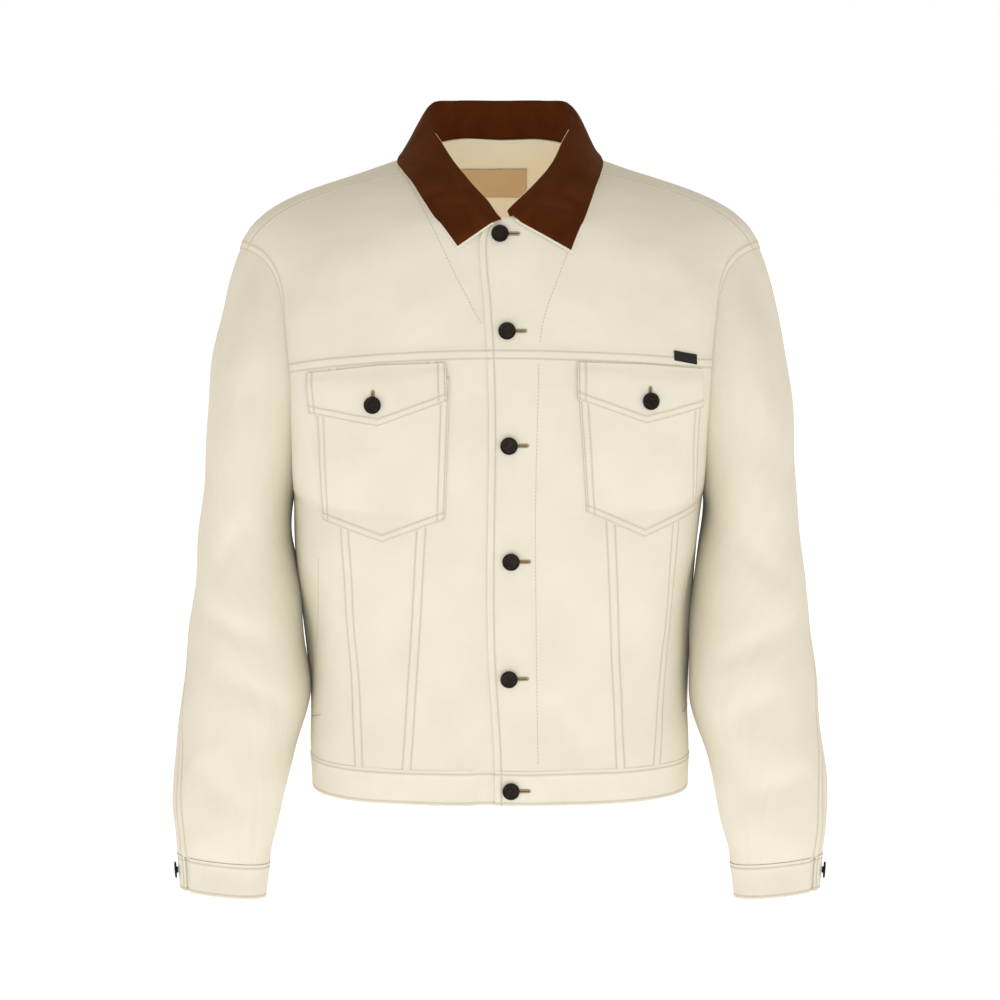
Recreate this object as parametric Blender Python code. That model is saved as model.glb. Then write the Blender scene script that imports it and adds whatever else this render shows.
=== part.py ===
"""A cream twill trucker jacket with a brown collar, buttoned up and filled out as if worn.

Metres, +Z up. The front faces -Y and +X is the right of the picture. The origin lies on the
centre line, level with the points where the neck meets the shoulders.

The body is one smooth surface that the pieces are cut from. A place on it has two numbers: up,
which runs from 0 at the front hem over the shoulder to 2 at the back hem, and across, which runs
from 0 at the centre to 1 at the side seam or armhole, and below 0 past the centre front.
A place on a sleeve has an angle round the arm, 0 underneath, 90 in front and 180 outside, and a
number down, 0 at the armhole, 1 just below the underarm, 2 at the cuff seam and 3 at its edge.
"""

import math

import bpy
import numpy as np

SEAM_GAP = 0.0003
CLOTH = 0.0014
BAND = 0.0024
BAND_RISE = 0.0005
UNDER_LAP_TO = 0.0285
UNDER_LAP_DROP = 0.0020
UNDER_BAND_DROP = 0.0029
LAP_FALL = (0.0200, 0.0310)

HEM_SEAM_UP = 0.06
UNDERARM_UP = 0.45
YOKE_UP = 0.689
YOKE_RISE = {"left": 0.003, "right": 0.012}
NECK_FRONT_UP = 0.88
SHOULDER_SEAM_UP = 0.968
NECK_BACK_UP = 1.12
BACK_YOKE_UP = 1.335
BACK_UNDERARM_UP = 1.55
SLEEVE_SEAM_UP = 1.18
SLEEVE_SEAM_AT_CUFF = 143

# The centre line, front hem to front neck and back neck to back hem.
FRONT_LINE = {
    "up": (0.00, 0.06, 0.25, 0.45, 0.57, 0.70, 0.80, 0.88),
    "y": (-0.128, -0.1295, -0.1365, -0.145, -0.1465, -0.142, -0.134, -0.122),
    "z": (-0.622, -0.588, -0.478, -0.345, -0.270, -0.191, -0.125, -0.067),
}
BACK_LINE = {
    "up": (1.12, 1.20, 1.30, 1.37, 1.55, 1.75, 1.94, 2.00),
    "y": (0.072, 0.098, 0.120, 0.129, 0.133, 0.127, 0.121, 0.119),
    "z": (0.009, -0.045, -0.120, -0.180, -0.335, -0.470, -0.588, -0.622),
}
# The neckline, centre back to centre front, by the share of the way round.
NECKLINE = {
    "round": (0.00, 0.20, 0.38, 0.50, 0.62, 0.75, 0.87, 1.00),
    "x": (0.000, 0.042, 0.068, 0.080, 0.076, 0.062, 0.037, 0.000),
    "y": (0.072, 0.066, 0.044, 0.012, -0.024, -0.064, -0.099, -0.122),
    "z": (0.009, 0.009, 0.002, -0.011, -0.020, -0.032, -0.051, -0.067),
}
# The side seam, hem to underarm. The left of the jacket is a little fuller under the arm.
SIDE_SEAM = {
    "up": (0.00, 0.06, 0.15, 0.22, 0.30, 0.38, 0.45),
    "left": (0.1850, 0.1855, 0.1865, 0.1900, 0.1960, 0.2015, 0.2020),
    "right": (0.1850, 0.1855, 0.1850, 0.1865, 0.1890, 0.1930, 0.1990),
    "z": (-0.622, -0.588, -0.538, -0.495, -0.440, -0.385, -0.333),
}
ARMHOLE = {"middle": -0.2155, "half_height": 0.1175, "half_depth": 0.078, "squareness": 0.82}
ARMHOLE_WIDTH = {
    "angle": (0, 30, 60, 93, 115, 130, 145, 158, 170, 180),
    "x": (0.2005, 0.1985, 0.1975, 0.1995, 0.2045, 0.2095, 0.2180, 0.2300, 0.2440, 0.2530),
}
ANGLE_AT = {
    "up": (0.45, 0.57, 0.70, 0.88, 1.00, 1.12, 1.32, 1.55),
    "angle": (0, 47, 93, 142, 180, 218, 268, 360),
}
# The two middle handles of each row of the body: one a place, one a reach back from the row's end.
ROW_HANDLES = {
    "up": (0.0, 0.06, 0.25, 0.45, 0.48, 0.52, 0.57, 0.70, 0.80, 0.88, 0.94, 1.0,
           1.06, 1.12, 1.20, 1.34, 1.55, 1.75, 2.0),
    "near_x": (0.139, 0.141, 0.148, 0.150, 0.148, 0.144, 0.138, 0.126, 0.122, 0.120, 0.125, 0.140,
               0.130, 0.120, 0.116, 0.120, 0.128, 0.130, 0.128),
    "near_y": (-0.128, -0.1295, -0.1375, -0.146, -0.1465, -0.1467, -0.1465, -0.141, -0.131, -0.111,
               -0.064, 0.010, 0.052, 0.084, 0.108, 0.129, 0.134, 0.127, 0.119),
    "near_z": (-0.622, -0.588, -0.478, -0.345, -0.327, -0.302, -0.270, -0.191, -0.123, -0.072,
               -0.041, -0.0275, -0.031, -0.043, -0.070, -0.158, -0.335, -0.470, -0.622),
    "far_x": (0.0, 0.0, -0.012, -0.005, -0.003, 0.001, 0.006, 0.010, -0.002, -0.022, -0.022, -0.011,
              -0.022, -0.026, -0.016, -0.004, 0.0, 0.0, 0.0),
    "far_y": (-0.092, -0.094, -0.105, -0.120, -0.106, -0.086, -0.066, -0.044, -0.042, -0.040, -0.018,
              0.0, 0.018, 0.040, 0.042, 0.048, 0.095, 0.088, 0.080),
    "far_z": (0.0, 0.0, 0.0, 0.0, 0.0, 0.0, 0.0, 0.003, 0.008, 0.016, 0.039, 0.0545,
              0.039, 0.016, 0.008, 0.002, 0.0, 0.0, 0.0),
}

ARM_TOP, CUFF_SEAM, CUFF_EDGE = -0.385, -0.6875, -0.7215
ARM_SQUARENESS = 0.9
# The sleeve below the underarm, by height.
ARM = {
    "z": (-0.7335, -0.7215, -0.6875, -0.6765, -0.646, -0.620, -0.580, -0.530, -0.480, -0.430, -0.385),
    "outer": (0.3115, 0.3120, 0.3146, 0.3160, 0.3184, 0.3178, 0.3150, 0.3103, 0.3040, 0.2982, 0.2937),
    "inner_left": (0.2293, 0.2286, 0.2246, 0.2233, 0.2158, 0.2100, 0.2005, 0.1854, 0.1897, 0.1960,
                   0.2024),
    "inner_right": (0.2293, 0.2286, 0.2246, 0.2233, 0.2158, 0.2100, 0.2005, 0.1837, 0.1854, 0.1888,
                    0.1942),
    "half_depth": (0.0280, 0.0285, 0.0300, 0.0350, 0.0455, 0.0510, 0.0585, 0.0670, 0.0740, 0.0795,
                   0.0830),
    "middle_y": (-0.050, -0.050, -0.048, -0.047, -0.044, -0.041, -0.036, -0.030, -0.024, -0.018, -0.012),
    "tilt": (0.11, 0.11, 0.11, 0.11, 0.10, 0.08, 0.05, 0.02, 0.0, 0.0, 0.0),
}
# The way the sleeve leaves the armhole, by the angle round it.
SLEEVE_LEAVES = {
    "angle": (0, 45, 90, 135, 180),
    "x": (0.03, 0.50, 0.80, 0.74, 0.38),
    "y": (0.0, -0.40, -0.30, -0.22, 0.0),
    "z": (-1.0, -0.77, -0.50, -0.64, -0.92),
}

METRES_PER_DEGREE = 0.0011
# A fold fades towards its ends, and the body's folds fade from here out to the side seam.
FOLD_TAPER, FOLDS_FADE_FROM = 1.7, 0.90
# A sleeve's folds start below the armhole and are gone at the cuff seam.
SLEEVE_FOLDS_START, SLEEVE_FOLDS_END = (0.0, 0.25), (1.9, 2.0)
# Soft troughs in the cloth: a line from one place to another, half its width and its depth.
# On the body a place is x and z, on a sleeve the angle times a length and z.
FRONT_FOLDS = (
    (-0.180, -0.400, -0.188, -0.520, 0.016, 0.0035),
    (0.184, -0.400, 0.178, -0.540, 0.017, 0.0040),
    (0.050, -0.520, 0.078, -0.575, 0.014, 0.0030),
    (-0.060, -0.480, -0.030, -0.575, 0.016, 0.0025),
    (0.150, -0.470, 0.120, -0.560, 0.015, 0.0028),
    (-0.150, -0.450, -0.120, -0.560, 0.017, 0.0025),
)
BACK_FOLDS = (
    (-0.150, -0.240, -0.110, -0.420, 0.022, 0.0045),
    (0.155, -0.250, 0.120, -0.400, 0.020, 0.0040),
    (-0.070, -0.460, -0.090, -0.580, 0.018, 0.0030),
    (0.060, -0.440, 0.100, -0.575, 0.020, 0.0035),
)
SLEEVE_FOLDS = {
    "left": (
        (0.060, -0.330, 0.130, -0.400, 0.014, 0.0035),
        (0.070, -0.470, 0.160, -0.440, 0.013, 0.0035),
        (0.050, -0.540, 0.120, -0.500, 0.012, 0.0030),
        (0.210, -0.400, 0.310, -0.450, 0.016, 0.0045),
        (0.230, -0.500, 0.330, -0.520, 0.014, 0.0040),
        (0.080, -0.640, 0.130, -0.590, 0.012, 0.0025),
    ),
    "right": (
        (0.055, -0.350, 0.125, -0.410, 0.014, 0.0035),
        (0.060, -0.490, 0.150, -0.450, 0.013, 0.0035),
        (0.060, -0.560, 0.115, -0.520, 0.012, 0.0030),
        (0.220, -0.410, 0.320, -0.440, 0.016, 0.0045),
        (0.220, -0.480, 0.320, -0.530, 0.014, 0.0040),
        (0.075, -0.620, 0.140, -0.600, 0.012, 0.0025),
    ),
}

LAP_EDGE = {
    "up": (0.0, 0.06, 0.26, 0.66, 0.70, 0.74, 0.78, 0.82, 0.86, 0.88),
    "past": (0.0047, 0.0050, 0.0112, 0.0112, 0.0121, 0.0137, 0.0156, 0.0183, 0.0180, 0.0125),
}
# The slanting seams of the front: how far out they are at the hem band and at the chest seam.
PANEL_SEAMS = {
    "left": {"inner": (0.0886, 0.0633), "outer": (0.1343, 0.1551)},
    "right": {"inner": (0.1144, 0.0965), "outer": (0.1497, 0.1777)},
}
PANEL_SHARES = {
    "centre_front": (0.0, 0.12, 0.24, 0.32, 0.42, 0.6, 0.8, 1.0),
    "pocket_panel": (0.0, 0.2, 0.4, 0.6, 0.8, 1.0),
    "side_front": (0.0, 0.15, 0.3, 0.45, 0.6, 0.8, 1.0),
}
LAP_SHARES = (0.0, 0.5, 1.0)
# How far up the rows of the body are. Those of the armhole are also where the sleeve's columns start.
LOW_ROWS = (HEM_SEAM_UP, 0.11, 0.17, 0.24, 0.31, 0.37, 0.415, UNDERARM_UP)
CHEST_ROWS = (0.48, 0.52, 0.57, 0.63)
YOKE_ROWS = (0.76, 0.82, NECK_FRONT_UP, 0.925, SHOULDER_SEAM_UP)
BACK_YOKE_ROWS = (SHOULDER_SEAM_UP, 1.0, 1.06, NECK_BACK_UP, 1.15, SLEEVE_SEAM_UP, 1.22, 1.275, BACK_YOKE_UP)
BACK_ROWS = (BACK_YOKE_UP, 1.39, 1.435, 1.48, 1.52, BACK_UNDERARM_UP)
YOKE_COLUMNS = (0.0, 0.035, 0.07, 0.11, 0.22, 0.34, 0.46, 0.58, 0.70, 0.81, 0.91, 1.0)
BAND_COLUMNS = (0.0, 0.035, 0.07, 0.12, 0.22, 0.32, 0.42, 0.52, 0.62, 0.72, 0.82, 0.91, 1.0)
SLEEVE_ROWS = (0.0, 0.12, 0.26, 0.42, 0.60, 0.80, 1.0, 1.16, 1.32, 1.48, 1.62, 1.76, 1.88, 1.96, 2.0)
# The sleeve's columns turn with its back seam, which starts to turn a little below the armhole.
SLEEVE_TURNS = (0.1, 2.0)
CUFF_COLUMNS, CUFF_LAP, CUFF_GAP = 18, 45, 0.012
# The lapped end of the cuff is pressed in between these angles past the seam.
CUFF_EVEN_TO, CUFF_FALL = 348, (348, 359)
CUFF_BUTTON_ANGLE = 176

COLLAR_CLOTH, UNDER_COLLAR = 0.0014, 0.0010
COLLAR_STANDS_OFF, NECK_GAP, COLLAR_GAP, COLLAR_SHIFT = 0.0039, 0.0006, 0.0018, 0.0176
# The brown layer stops short of the cream one, by this share of each.
COLLAR_SHORT_EDGE, COLLAR_SHORT_END = 0.98, 0.993
STAND_SHARE, ROLL_RADIUS = 0.35, 0.006
# The roll lies a little to the right of the middle towards the front.
ROLL_ASIDE, ROLL_ASIDE_FROM, ROLL_ASIDE_TO, ROLL_BACK_FROM = 0.0035, 0.45, 0.80, 0.88
# The handles of the collar's curve, as shares of its rise to the roll and its fall to the edge.
STAND_REACH, STAND_LEAN, LEAF_REACH, LEAF_LEAN, ROLL_OVER = 0.45, 0.35, 0.2, 0.3, 1.6
# Towards the front the collar folds flat, and follows the yoke beneath it.
COLLAR_LIES_FROM, COLLAR_LIES_WITHIN, COLLAR_FOLD = 0.78, 0.3, 0.0038
# The collar by its share of the way from centre back to front: its roll, and where its edge lies.
COLLAR = {
    "round": (0.00, 0.20, 0.38, 0.50, 0.62, 0.75, 0.87, 1.00),
    "roll_x": (0.000, 0.042, 0.0665, 0.0715, 0.0580, 0.0450, 0.0270, 0.000),
    "roll_y": (0.066, 0.062, 0.040, 0.012, -0.027, -0.056, -0.090, -0.1262),
    "roll_z": (0.0475, 0.0475, 0.0435, 0.028, 0.006, -0.016, -0.0370, -0.0645),
    "left": {
        "edge_up": (1.165, 1.120, 1.070, 1.005, 0.966, 0.930, 0.888, 0.8425),
        "edge_x": (0.000, 0.060, 0.0910, 0.1005, 0.0935, 0.0800, 0.0610, 0.0393),
    },
    "right": {
        "edge_up": (1.165, 1.120, 1.070, 1.005, 0.962, 0.928, 0.886, 0.840),
        "edge_x": (0.000, 0.060, 0.0910, 0.1005, 0.0970, 0.0895, 0.0785, 0.0672),
    },
}
COLLAR_COLUMNS = (0.0, 0.10, 0.20, 0.30, 0.38, 0.45, 0.52, 0.60, 0.68, 0.76, 0.83, 0.90, 0.95,
                  COLLAR_SHORT_END, 1.0)
COLLAR_ROWS = (0.0, 0.14, 0.26, 0.31, 0.35, 0.40, 0.48, 0.60, 0.76, 0.89, COLLAR_SHORT_EDGE)
UNDER_COLLAR_ROWS = (0.48, 0.60, 0.76, 0.89, COLLAR_SHORT_EDGE, 1.0)

POCKET_RISE, POCKET_CLOTH = 0.00195, 0.0011
FLAP_RISE, FLAP_CLOTH = (0.0020, 0.0038), 0.0013
PATCH_SHARES = (0.0, 0.16, 0.32, 0.5, 0.62, 0.73, 0.83, 0.92, 1.0)
# Corners as x from the centre line and z, the top edge and then the lower one, from the centre out.
POCKETS = {
    "left": {
        "top": ((0.0465, -0.2150), (0.1090, -0.2200), (0.1735, -0.2262)),
        "bottom": ((0.0518, -0.3475), (0.1101, -0.3694), (0.1668, -0.3510)),
    },
    "right": {
        "top": ((0.0727, -0.2145), (0.1330, -0.2180), (0.1895, -0.2225)),
        "bottom": ((0.0815, -0.3405), (0.1356, -0.3654), (0.1850, -0.3450)),
    },
}
FLAPS = {
    "left": {
        "top": ((0.0502, -0.2008), (0.1134, -0.2035), (0.1817, -0.2122)),
        "bottom": ((0.0493, -0.2370), (0.1134, -0.2608), (0.1789, -0.2496)),
    },
    "right": {
        "top": ((0.0721, -0.2000), (0.1361, -0.2028), (0.1929, -0.2085)),
        "bottom": ((0.0726, -0.2352), (0.1361, -0.2584), (0.1922, -0.2442)),
    },
}
FLAP_BUTTONS = {"left": (0.1175, -0.2403), "right": (0.1392, -0.2369)}
FRONT_BUTTONS = (
    (0.0, -0.0815), (0.0065, -0.1711), (0.0084, -0.2778),
    (0.0103, -0.3870), (0.0085, -0.4988), (0.0104, -0.6071),
)
TAB = {
    "top": ((0.1631, -0.1900), (0.1846, -0.1945)),
    "bottom": ((0.1631, -0.1995), (0.1847, -0.2040)),
}
TAB_RISE, TAB_CLOTH = 0.0012, 0.0008
TAB_SHARES = (0.0, 0.2, 0.4, 0.6, 0.8, 1.0)
NECK_LABEL = {
    "top": ((-0.0390, -0.0190), (0.0270, -0.0190)),
    "bottom": ((-0.0390, -0.0470), (0.0270, -0.0470)),
}
LABEL_DEPTH, LABEL_CLOTH = -0.0022, 0.0006

# For finding a place on the body from its x and z: how often the span is halved, and the steps up.
HALVINGS, STEPS_UP, LONGEST_STEP_UP = 30, 14, 0.05
# The share of a flap down which its rise changes.
FLAP_FALL = 0.3
BUTTON_SIDES = 16
# Radius and height above the cloth, from the post up and over the cap to its dished middle.
BUTTON_PROFILE = (
    (0.0032, 0.0), (0.0032, 0.0012), (0.0080, 0.0016), (0.0086, 0.0024),
    (0.0084, 0.0034), (0.0072, 0.0038), (0.0062, 0.0033), (0.0024, 0.0037),
)


def through(stations, values, at):
    """Where the smooth curve through the values at the stations is, for each entry of at."""
    stations = np.asarray(stations, float)
    values = np.asarray(values, float)
    at = np.asarray(at, float)
    step = np.diff(stations)
    slope = np.diff(values) / step
    tangent = np.concatenate([
        slope[:1],
        (slope[:-1] * step[1:] + slope[1:] * step[:-1]) / (step[:-1] + step[1:]),
        slope[-1:],
    ])
    i = np.clip(np.searchsorted(stations, at, side="right") - 1, 0, len(step) - 1)
    t = (at - stations[i]) / step[i]
    h = step[i]
    return (
        values[i] * (2 * t**3 - 3 * t**2 + 1)
        + values[i + 1] * (3 * t**2 - 2 * t**3)
        + tangent[i] * h * (t**3 - 2 * t**2 + t)
        + tangent[i + 1] * h * (t**3 - t**2)
    )


def stack(*parts):
    return np.stack(np.broadcast_arrays(*parts), axis=-1).astype(float)


def eased(low, high, value):
    """0 below low, 1 above high, and smooth between."""
    t = np.clip((value - low) / (high - low), 0, 1)
    return t * t * (3 - 2 * t)


def unit(vectors):
    return vectors / np.maximum(np.linalg.norm(vectors, axis=-1, keepdims=True), 1e-12)


def neckline(round_share):
    """A point of the neckline. It is level where it crosses the centre, front and back."""
    at = np.abs(round_share)
    table = NECKLINE
    stations = np.array([-table["round"][1], *table["round"], 2 - table["round"][-2]])

    def column(name, sign):
        values = table[name]
        return through(stations, [sign * values[1], *values, sign * values[-2]], at)

    return stack(column("x", -1), column("y", 1), column("z", 1))


def armhole(side, angle):
    """A point of the armhole seam, for a side of -1 or 1 and an angle in degrees."""
    turned = np.radians(angle)
    folded = np.where(np.asarray(angle) > 180, 360 - np.asarray(angle, float), angle)
    sine = np.sin(turned)
    x = through(ARMHOLE_WIDTH["angle"], ARMHOLE_WIDTH["x"], folded)
    column = "left" if side < 0 else "right"
    x = x + (SIDE_SEAM[column][-1] - 0.2005) * (1 - eased(0, 90, folded))
    power = 1 + (ARMHOLE["squareness"] - 1) * eased(0, 45, folded)
    y = -ARMHOLE["half_depth"] * np.sign(sine) * np.abs(sine) ** power
    z = ARMHOLE["middle"] - ARMHOLE["half_height"] * np.cos(turned)
    return stack(x, y, z)


def row_start(up):
    up = np.asarray(up, float)
    front = stack(0 * up, through(FRONT_LINE["up"], FRONT_LINE["y"], up),
                  through(FRONT_LINE["up"], FRONT_LINE["z"], up))
    back = stack(0 * up, through(BACK_LINE["up"], BACK_LINE["y"], up),
                 through(BACK_LINE["up"], BACK_LINE["z"], up))
    share = np.clip((NECK_BACK_UP - up) / (NECK_BACK_UP - NECK_FRONT_UP), 0, 1)
    return np.where((up < NECK_FRONT_UP)[..., None], front,
                    np.where((up > NECK_BACK_UP)[..., None], back, neckline(share)))


def row_end(side, up):
    up = np.asarray(up, float)
    from_hem = np.where(up > 1, 2 - up, up) * np.where(up > 1, UNDERARM_UP / (2 - BACK_UNDERARM_UP), 1)
    column = "left" if side < 0 else "right"
    seam = stack(through(SIDE_SEAM["up"], SIDE_SEAM[column], from_hem), 0 * up,
                 through(SIDE_SEAM["up"], SIDE_SEAM["z"], from_hem))
    angle = through(ANGLE_AT["up"], ANGLE_AT["angle"], np.clip(up, UNDERARM_UP, BACK_UNDERARM_UP))
    below = (up < UNDERARM_UP) | (up > BACK_UNDERARM_UP)
    return np.where(below[..., None], seam, armhole(side, angle))


def smooth_body(side, up, across):
    """A point of the body's surface before its folds, on the side x > 0 and mirrored for -1."""
    up, across = np.broadcast_arrays(np.asarray(up, float), np.asarray(across, float))
    start, end = row_start(up), row_end(side, up)
    near = stack(*(through(ROW_HANDLES["up"], ROW_HANDLES["near_" + c], up) for c in "xyz"))
    far = end + stack(*(through(ROW_HANDLES["up"], ROW_HANDLES["far_" + c], up) for c in "xyz"))
    t = np.abs(across)[..., None]
    point = start * (1 - t) ** 3 + 3 * near * t * (1 - t) ** 2 + 3 * far * t**2 * (1 - t) + end * t**3
    point[..., 0] *= side * np.where(across < 0, -1, 1)
    return point


def arm_ring(side, angle, z):
    """A point of the sleeve at a height below the underarm, on the side x > 0."""
    angle, z = np.broadcast_arrays(np.asarray(angle, float), np.asarray(z, float))
    heights = ARM["z"]
    outer = through(heights, ARM["outer"], z)
    inner = through(heights, ARM["inner_left" if side < 0 else "inner_right"], z)
    half = (outer - inner) / 2
    turned = np.radians(angle)
    cosine = np.sign(np.cos(turned)) * np.abs(np.cos(turned)) ** ARM_SQUARENESS
    sine = np.sign(np.sin(turned)) * np.abs(np.sin(turned)) ** ARM_SQUARENESS
    x = (outer + inner) / 2 - half * cosine
    y = through(heights, ARM["middle_y"], z) - through(heights, ARM["half_depth"], z) * sine
    return stack(x, y, z - half * cosine * through(heights, ARM["tilt"], z))


def smooth_sleeve(side, angle, down):
    """A point of the sleeve's surface before its folds, mirrored for a side of -1."""
    angle, down = np.broadcast_arrays(np.asarray(angle, float), np.asarray(down, float))
    above = ARM_TOP + (CUFF_SEAM - ARM_TOP) * (np.maximum(down, 1) - 1)
    z = np.where(down < 2, above, CUFF_SEAM + (CUFF_EDGE - CUFF_SEAM) * (down - 2))
    arm = arm_ring(side, angle, z)
    top, start = arm_ring(side, angle, np.full_like(z, ARM_TOP)), armhole(side, angle)
    length = np.linalg.norm(top - start, axis=-1, keepdims=True)
    folded = np.where(angle > 180, 360 - angle, angle)
    leaving = stack(*(through(SLEEVE_LEAVES["angle"], SLEEVE_LEAVES[c], folded) for c in "xyz"))
    leaving[..., 1] *= np.where(angle > 180, -1, 1)
    arriving = unit(arm_ring(side, angle, np.full_like(z, ARM_TOP - 0.01)) - top)
    t = np.clip(down, 0, 1)[..., None]
    cap = (start * (2 * t**3 - 3 * t**2 + 1) + top * (3 * t**2 - 2 * t**3)
           + leaving * length * (t**3 - 2 * t**2 + t) + arriving * length * (t**3 - t**2))
    point = np.where((down < 1)[..., None], cap, arm)
    point[..., 0] *= side
    return point


def troughs(along, upward, folds):
    """How deep the soft troughs and ridges of a table are at each place, in metres."""
    depth = np.zeros(np.broadcast(along, upward).shape)
    for along_1, up_1, along_2, up_2, width, deep in folds:
        run = np.array([along_2 - along_1, up_2 - up_1])
        share = ((along - along_1) * run[0] + (upward - up_1) * run[1]) / (run @ run)
        nearest = np.clip(share, 0, 1)
        off = np.hypot(along - along_1 - nearest * run[0], upward - up_1 - nearest * run[1])
        fade = np.clip(1 - (2 * share - 1) ** 2 / FOLD_TAPER, 0, 1)
        depth += deep * fade * np.exp(-((off / width) ** 2))
    return depth


def surface_normal(surface, side, first, second, step=1e-3):
    """The outward normal of a surface whose first number runs up or down and second one across."""
    along = surface(side, first, second + step) - surface(side, first, second - step)
    upward = surface(side, first + step, second) - surface(side, first - step, second)
    return unit(side * np.cross(along, upward))


def body(side, up, across, lift=0.0):
    """A point of the body with its folds, lifted off it along the normal, and that normal."""
    up, across = np.broadcast_arrays(np.asarray(up, float), np.asarray(across, float))
    point = smooth_body(side, up, across)
    normal = surface_normal(smooth_body, side, up, across)
    depth = troughs(point[..., 0], point[..., 2], FRONT_FOLDS) * (up <= 1)
    depth += troughs(point[..., 0], point[..., 2], BACK_FOLDS) * (up > 1)
    depth *= 1 - eased(FOLDS_FADE_FROM, 1.0, np.abs(across))
    lift = np.broadcast_to(lift, up.shape)
    return point + normal * (lift - depth)[..., None], normal


def sleeve(side, angle, down, lift=0.0):
    angle, down = np.broadcast_arrays(np.asarray(angle, float), np.asarray(down, float))
    point = smooth_sleeve(side, angle, down)
    normal = unit(-side * np.cross(
        smooth_sleeve(side, angle + 0.2, down) - smooth_sleeve(side, angle - 0.2, down),
        smooth_sleeve(side, angle, down + 1e-3) - smooth_sleeve(side, angle, down - 1e-3)))
    folds = SLEEVE_FOLDS["left" if side < 0 else "right"]
    depth = troughs(angle * METRES_PER_DEGREE, point[..., 2], folds)
    depth *= eased(*SLEEVE_FOLDS_START, down) * (1 - eased(*SLEEVE_FOLDS_END, down))
    lift = np.broadcast_to(lift, down.shape)
    return point + normal * (lift - depth)[..., None], normal


def angle_at(up):
    return through(ANGLE_AT["up"], ANGLE_AT["angle"], up)


def yoke_seam(side, across):
    """How far up the chest seam is, which rises a little towards the armhole."""
    return YOKE_UP + YOKE_RISE["left" if side < 0 else "right"] * np.clip(across, 0, 1) ** 2


def across_at(side, up, x):
    """How far across the row is at a distance x from the centre line, found by halving."""
    up, x = np.broadcast_arrays(np.asarray(up, float), np.asarray(x, float))
    low, high = np.zeros(up.shape), np.ones(up.shape)
    for _ in range(HALVINGS):
        middle = (low + high) / 2
        short = np.abs(smooth_body(side, up, middle)[..., 0]) < np.abs(x)
        low, high = np.where(short, middle, low), np.where(short, high, middle)
    return (low + high) / 2 * np.sign(x)


def place_at(side, x, z, up):
    """The up and across of a point of the body at a distance x out and a height z, near a first up."""
    x, z = np.broadcast_arrays(np.asarray(x, float), np.asarray(z, float))
    up = np.full(x.shape, float(up))
    for _ in range(STEPS_UP):
        across = across_at(side, up, x)
        here = smooth_body(side, up, across)[..., 2]
        slope = (smooth_body(side, up + 1e-3, across)[..., 2] - here) / 1e-3
        up = up + np.clip((z - here) / slope, -LONGEST_STEP_UP, LONGEST_STEP_UP)
    return up, across_at(side, up, x)


def material(name, color, roughness, metallic=0.0):
    made = bpy.data.materials.new(name)
    made.use_nodes = True
    shader = made.node_tree.nodes["Principled BSDF"]
    shader.inputs["Base Color"].default_value = (*color, 1)
    shader.inputs["Roughness"].default_value = roughness
    shader.inputs["Metallic"].default_value = metallic
    made.diffuse_color = (*color, 1)
    return made


class Sheet:
    """Grids of points with normals, which join where they meet."""

    def __init__(self):
        self.points, self.normals, self.faces, self.index = [], [], [], {}

    def add(self, points, normals):
        numbers = np.empty(points.shape[:2], int)
        for i, j in np.ndindex(numbers.shape):
            key = tuple(np.round(points[i, j], 5))
            if key not in self.index:
                self.index[key] = len(self.points)
                self.points.append(points[i, j])
                self.normals.append(np.zeros(3))
            numbers[i, j] = self.index[key]
            self.normals[numbers[i, j]] = self.normals[numbers[i, j]] + normals[i, j]
        for i in range(numbers.shape[0] - 1):
            for j in range(numbers.shape[1] - 1):
                near, far = numbers[i, j], numbers[i + 1, j + 1]
                for third in (numbers[i, j + 1], numbers[i + 1, j]):
                    if len({near, far, third}) == 3:
                        self.faces.append([near, third, far])

    def wall(self, name, thickness, finish, inset=SEAM_GAP / 2):
        """One closed wall of the grids: its outer side, its inner side and the rim between them."""
        points, normals = np.array(self.points), unit(np.array(self.normals))
        faces = []
        for face in self.faces:
            turn = np.cross(points[face[1]] - points[face[0]], points[face[2]] - points[face[0]])
            faces.append(face if turn @ normals[face].sum(axis=0) > 0 else face[::-1])
        edges = {(a, b) for face in faces for a, b in zip(face, face[1:] + face[:1])}
        rim = sorted((a, b) for a, b in edges if (b, a) not in edges)
        inward = {}
        for a, b in rim:
            for end in (a, b):
                way = unit(np.cross(normals[end], points[b] - points[a]))
                inward.setdefault(end, []).append(way)
        moved = points.copy()
        for end, ways in inward.items():
            total = sum(ways)
            moved[end] += total * inset * len(ways) / max(total @ total, 1e-6)
        count = len(points)
        shell = [*moved, *(moved - normals * thickness)]
        sides = [[b, a, a + count, b + count] for a, b in rim]
        inner = [[n + count for n in face[::-1]] for face in faces]
        mesh = bpy.data.meshes.new(name)
        mesh.from_pydata([tuple(p) for p in shell], [], [*faces, *inner, *sides])
        mesh.materials.append(finish)
        mesh.shade_smooth()
        mesh.set_sharp_from_angle(angle=math.radians(40))
        made = bpy.data.objects.new(name, mesh)
        bpy.context.scene.collection.objects.link(made)
        return made


def grid(first, second):
    """Two tables of numbers, one for each row of the first and each column of the second."""
    return np.meshgrid(np.asarray(first, float), np.asarray(second, float), indexing="ij")


def side_name(side):
    return "left" if side < 0 else "right"


def armhole_rows(side):
    """How far up the armhole's rows are, from the underarm over the shoulder and back to it."""
    return np.array([UNDERARM_UP, *CHEST_ROWS, yoke_seam(side, 1.0), *YOKE_ROWS, *BACK_YOKE_ROWS[1:],
                     *BACK_ROWS[1:]])


def lap_edge(up):
    """How far past the centre the front that laps over reaches."""
    return through(LAP_EDGE["up"], LAP_EDGE["past"], up)


def centre_edge(side, up):
    """The across of a front's own edge, which lies past the centre on both sides."""
    past = lap_edge(up) if side > 0 else np.full(np.shape(up), UNDER_LAP_TO)
    return across_at(side, up, -past)


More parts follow.
